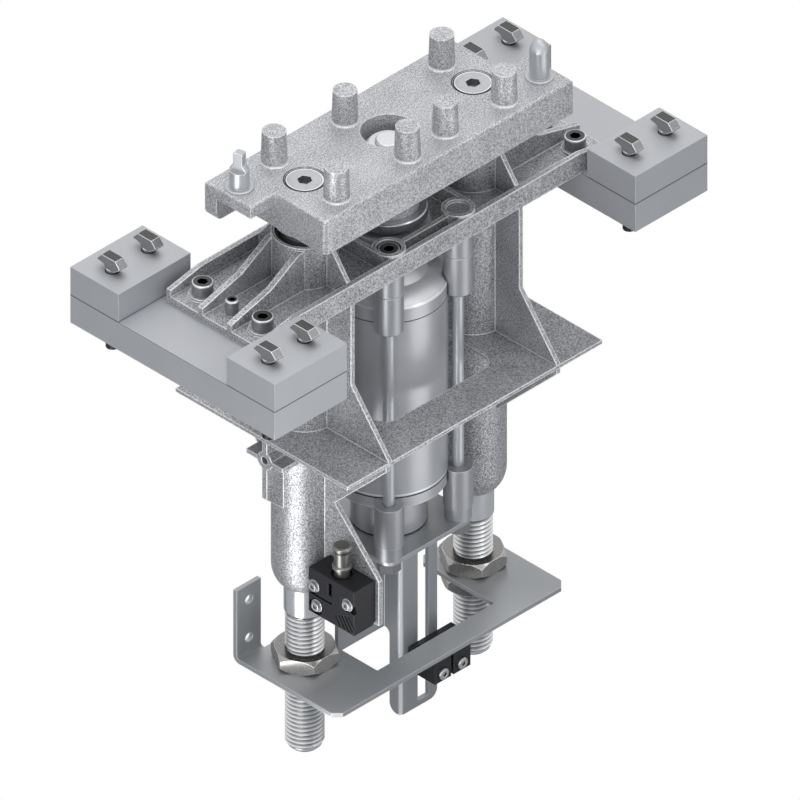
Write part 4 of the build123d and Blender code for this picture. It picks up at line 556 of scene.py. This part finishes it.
# Sheet parts: bracket plate, sensor rail and connecting plate.
# Zinc-plated sheet, cut and bent; its edges carry a painted highlight.
# The rail hangs under the bracket plate, and the connecting plate ties the two rods together.
bend_normal = (-0.7071, -0.7071, 0)    # where the rail's bend catches the light
sheet, shader, place = new_finish("zinc-plated sheet", Metallic=0.45)
bloom_and_light_pools = noise(place, 0.07, 1.0)
fine = noise(place, 0.0006, 1.0)
shade = blend_tones(bloom_and_light_pools * 0.7 + fine * 0.3, (0.33, 0.345, 0.365), (0.48, 0.495, 0.515))
# Painted light: tops lighter in patches.
lighter_top = facing_up(place) * stretch(bloom_and_light_pools, 0.35, 0.65, 0.15, 0.6)
shade = blend_tones(lighter_top, shade, (0.72, 0.735, 0.74))
# Painted highlight on faces turned like the rail's bend.
bend = stretch(dot(place, face_normal(place), bend_normal), 0.90, 0.98)
bent = blend_tones(bend, shade, (0.97, 0.98, 1.0))
# Painted highlight on the edges.
feed(shader, Base_Color=blend_tones(edge_highlight(place, 0.0006) * 0.7, bent, (0.80, 0.82, 0.85)),
     Roughness=stretch(bloom_and_light_pools, 0.3, 0.7, 0.36, 0.46), Normal=rounded(place, 0.0005))
paint(sheet, "cylinder_bracket", "sensor_rail", "connecting_plate")


# Sensor clamps and sensors.
# Black glass-filled plastic, moulded, with a soft sheen; the upright sensor is nickel-plated.
# One clamp is screwed through the rail's slot, the other onto the frame's arm.
black_plastic, shader, place = new_finish("black moulded plastic", Specular_IOR_Level=0.25)
fine = noise(place, 0.0007, 2.0)
shade = blend_tones(fine, (0.024, 0.024, 0.028), (0.038, 0.038, 0.043))
# Painted shade in crevices.
deep = blend_tones(crevice(place, 0.004), shade, (0.002, 0.002, 0.002))
# Painted highlight on the edges.
feed(shader, Base_Color=blend_tones(edge_highlight(place, 0.0005) * 0.6, deep, (0.16, 0.16, 0.17)),
     Roughness=stretch(fine, 0.3, 0.7, 0.36, 0.46), Normal=rounded(place, 0.0003))
paint(black_plastic, "rail_sensor_clamp", "rail_sensor")


def block(low, high):
    """Box between two corners."""
    bpy.ops.object.select_all(action="DESELECT")
    middle = [(a + b) / 2 for a, b in zip(low, high)]
    bpy.ops.mesh.primitive_cube_add(size=1, location=middle)
    made = bpy.context.object
    made.scale = [b - a for a, b in zip(low, high)]
    bpy.ops.object.transform_apply(location=False, rotation=False, scale=True)
    return made


def drill(radius, centre, length, turn=(0, 0, 0)):
    """Round cutter, upright unless it is turned."""
    bpy.ops.object.select_all(action="DESELECT")
    bpy.ops.mesh.primitive_cylinder_add(vertices=48, radius=radius, depth=length,
                                        location=centre, rotation=turn)
    return bpy.context.object


def carve(piece, cutter):
    """Takes the cutter's shape out of the piece."""
    cut = piece.modifiers.new("cut", "BOOLEAN")
    cut.operation = "DIFFERENCE"
    cut.object = cutter
    only(piece)
    bpy.ops.object.modifier_apply(modifier="cut")
    bpy.data.objects.remove(cutter)


face_x, arm_x = -0.0909, -0.0732              # the block's screw face, and its face on the arm
sensor_x, sensor_y, block_top = -0.08205, -0.043, -0.206
past = 0.001                                  # how far a cutter stands out of the block
clamp_block = block((face_x, -0.062, -0.2374), (arm_x, -0.024, block_top))
only(clamp_block)
bpy.ops.object.mode_set(mode="EDIT")
bpy.ops.mesh.select_all(action="SELECT")
bpy.ops.mesh.bevel(offset=0.0004, segments=2)
bpy.ops.object.mode_set(mode="OBJECT")

# The sensor's cup and hole, the clamping slit, and a slot in the screw face.
carve(clamp_block, drill(0.00675, (sensor_x, sensor_y, block_top), 0.004))
carve(clamp_block, drill(0.0047, (sensor_x, sensor_y, -0.2217), 0.04))
carve(clamp_block, block((face_x - past, -0.0435, -0.2243), (arm_x + past, -0.022, -0.2229)))
carve(clamp_block, block((face_x - past, -0.0434, -0.2184), (-0.0880, -0.0405, -0.2094)))

# Three screw recesses and a corner notch: radius, y, z and length.
along_x = (0, math.pi / 2, 0)
for radius, y, z, length in (
        (0.0057, -0.0302, -0.2315, 0.0036), (0.0052, -0.0284, -0.2178, 0.0014),
        (0.0052, -0.0560, -0.2178, 0.0014), (0.0032, -0.0606, -0.2195, 0.0050)):
    carve(clamp_block, drill(radius, (face_x, y, z), length, along_x))

# Chamfer under the arm's side, and the slanting grip grooves.
chamfer = block((-0.004, -0.02, -0.004), (0.004, 0.02, 0.004))
chamfer.rotation_euler = (0, math.radians(45), 0)
chamfer.location = (arm_x, sensor_y, -0.2402)
carve(clamp_block, chamfer)
for number in range(5):
    groove = block((face_x - past, -0.0006, -0.0058), (face_x + past, 0.0006, 0.0058))
    groove.rotation_euler = (math.radians(-35), 0, 0)
    groove.location = (face_x, -0.0492 - 0.0027 * number, -0.2342 + 0.0011 * number)
    carve(clamp_block, groove)
settle(clamp_block, "sensor_clamp_block", black_plastic, "base", 12)
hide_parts("arm_sensor_block")

screw_steel = steel_finish("bright screw steel", (0.62, 0.63, 0.65), (0.55, 0.56, 0.58),
                           (0.9, 0.9, 0.92), 0.28)
paint(screw_steel, "rail_clamp_screws", "arm_clamp_screws", "arm_clamp_washers")
sensor_skin = turned_finish("nickel-plated sensor", (0.18, 0.18, 0.165), (0.27, 0.27, 0.25),
                            0.32, metallic=0.65)
paint(sensor_skin, "arm_sensor")


# Bushes, wipers and seals.
# Sintered bronze and black rubber, pressed into their seats.
bronze = turned_finish("sintered bronze", (0.36, 0.27, 0.14), (0.46, 0.35, 0.19), 0.45)
paint(bronze, "guide_bushes", "rod_gland_bush")
rubber, shader, place = new_finish("black rubber")
fine = noise(place, 0.0008, 2.0)
feed(shader, Base_Color=blend_tones(fine, (0.012, 0.012, 0.012), (0.028, 0.028, 0.028)),
     Roughness=stretch(fine, 0.3, 0.7, 0.5, 0.65))
paint(rubber, "rod_wipers", "cylinder_o_rings", "rod_gland_seal", "piston_seals")


# Studio light: a pale surround, a wide lamp overhead and three soft lamps in front.
# The camera and shiny or clear surfaces see the surround white; a dim sky lights the part.
def show(lit, seen, output):
    """Camera, shiny and clear surfaces see one shader; the other takes all other light."""
    camera_ray, shiny_ray, clear_ray = (
        lit.node("ShaderNodeLightPath", None, None, ray)
        for ray in ("Is Camera Ray", "Is Glossy Ray", "Is Transmission Ray"))
    mixed = lit.node("ShaderNodeMixShader", None,
                     {0: camera_ray + shiny_ray + clear_ray, 1: lit, 2: seen})
    lit.socket.id_data.links.new(mixed.socket, output.inputs["Surface"])


world = bpy.data.worlds.new("studio")
bpy.context.scene.world = world
world.use_nodes = True
sky = world.node_tree.nodes["Background"]
sky.inputs["Color"].default_value = (0.93, 0.96, 1, 1)
sky.inputs["Strength"].default_value = 0.3
dim_sky = Wire(sky.outputs[0])
backdrop = dim_sky.node("ShaderNodeBackground", None, {"Color": (1, 1, 1, 1), "Strength": 1.0})
show(dim_sky, backdrop, world.node_tree.nodes["World Output"])
lamps = (((0.1, 0.1, 1.5), 1.5, 12.5),        # place, size in metres, watts
         ((-1.25, -0.35, 0.2), 0.6, 1.5),
         ((-0.8, -0.95, 0.1), 0.8, 2.7),
         ((0.3, -0.95, 0.85), 0.25, 0.9))
for where, size, power in lamps:
    bpy.ops.object.light_add(type="AREA", location=where)
    lamp = bpy.context.object
    lamp.data.size = size
    lamp.data.energy = power
    lamp.rotation_euler = (aim - lamp.location).to_track_quat("-Z", "Y").to_euler()


# Pale floor just under the rail's lower end.
# Shiny surfaces see it as grey with two bright bands, which stand for reflector cards beside
# the part; the camera sees it as white.
def band(x, y, origin, azimuth, width, start):
    """1 along a ray over the floor and 0 beside it; the width is a share of the distance."""
    east, north = math.cos(math.radians(azimuth)), math.sin(math.radians(azimuth))
    along = (x - origin[0]) * east + (y - origin[1]) * north
    across = (y - origin[1]) * east - (x - origin[0]) * north
    inside = stretch(abs(across) / along, width, width * 0.4)
    return inside * stretch(along, start, start + 0.02)


floor_drop = 0.0005                           # clear gap under the part
between_bands, band_glow = (0.42, 0.43, 0.45), (6.4, 6.4, 6.4)
bpy.ops.object.select_all(action="DESELECT")
bpy.ops.mesh.primitive_plane_add(size=12, location=(0, 0, cad_low[2] - floor_drop))
floor = bpy.context.object
floor.name = "floor"
floor_finish, floor_shader, place = new_finish("pale floor", Base_Color=(0.9, 0.9, 0.9, 1),
                                               Roughness=0.9)
x, y = coordinate(place, "X"), coordinate(place, "Y")
left_band = band(x, y, (-guide_x, 0.0), 196, 0.42, 0.015)
front_band = band(x, y, (0.0, 0.0), 285, 0.5, 0.235)
card = blend_tones(left_band + front_band * 0.25, between_bands, band_glow)
shiny_ray = place.node("ShaderNodeLightPath", None, None, "Is Glossy Ray")
glow = place.node("ShaderNodeEmission", None,
                  {"Color": blend_tones(shiny_ray, (1, 1, 1), card), "Strength": 1.0})
show(Wire(floor_shader.outputs[0]), glow, floor_finish.node_tree.nodes["Material Output"])
floor.data.materials.append(floor_finish)
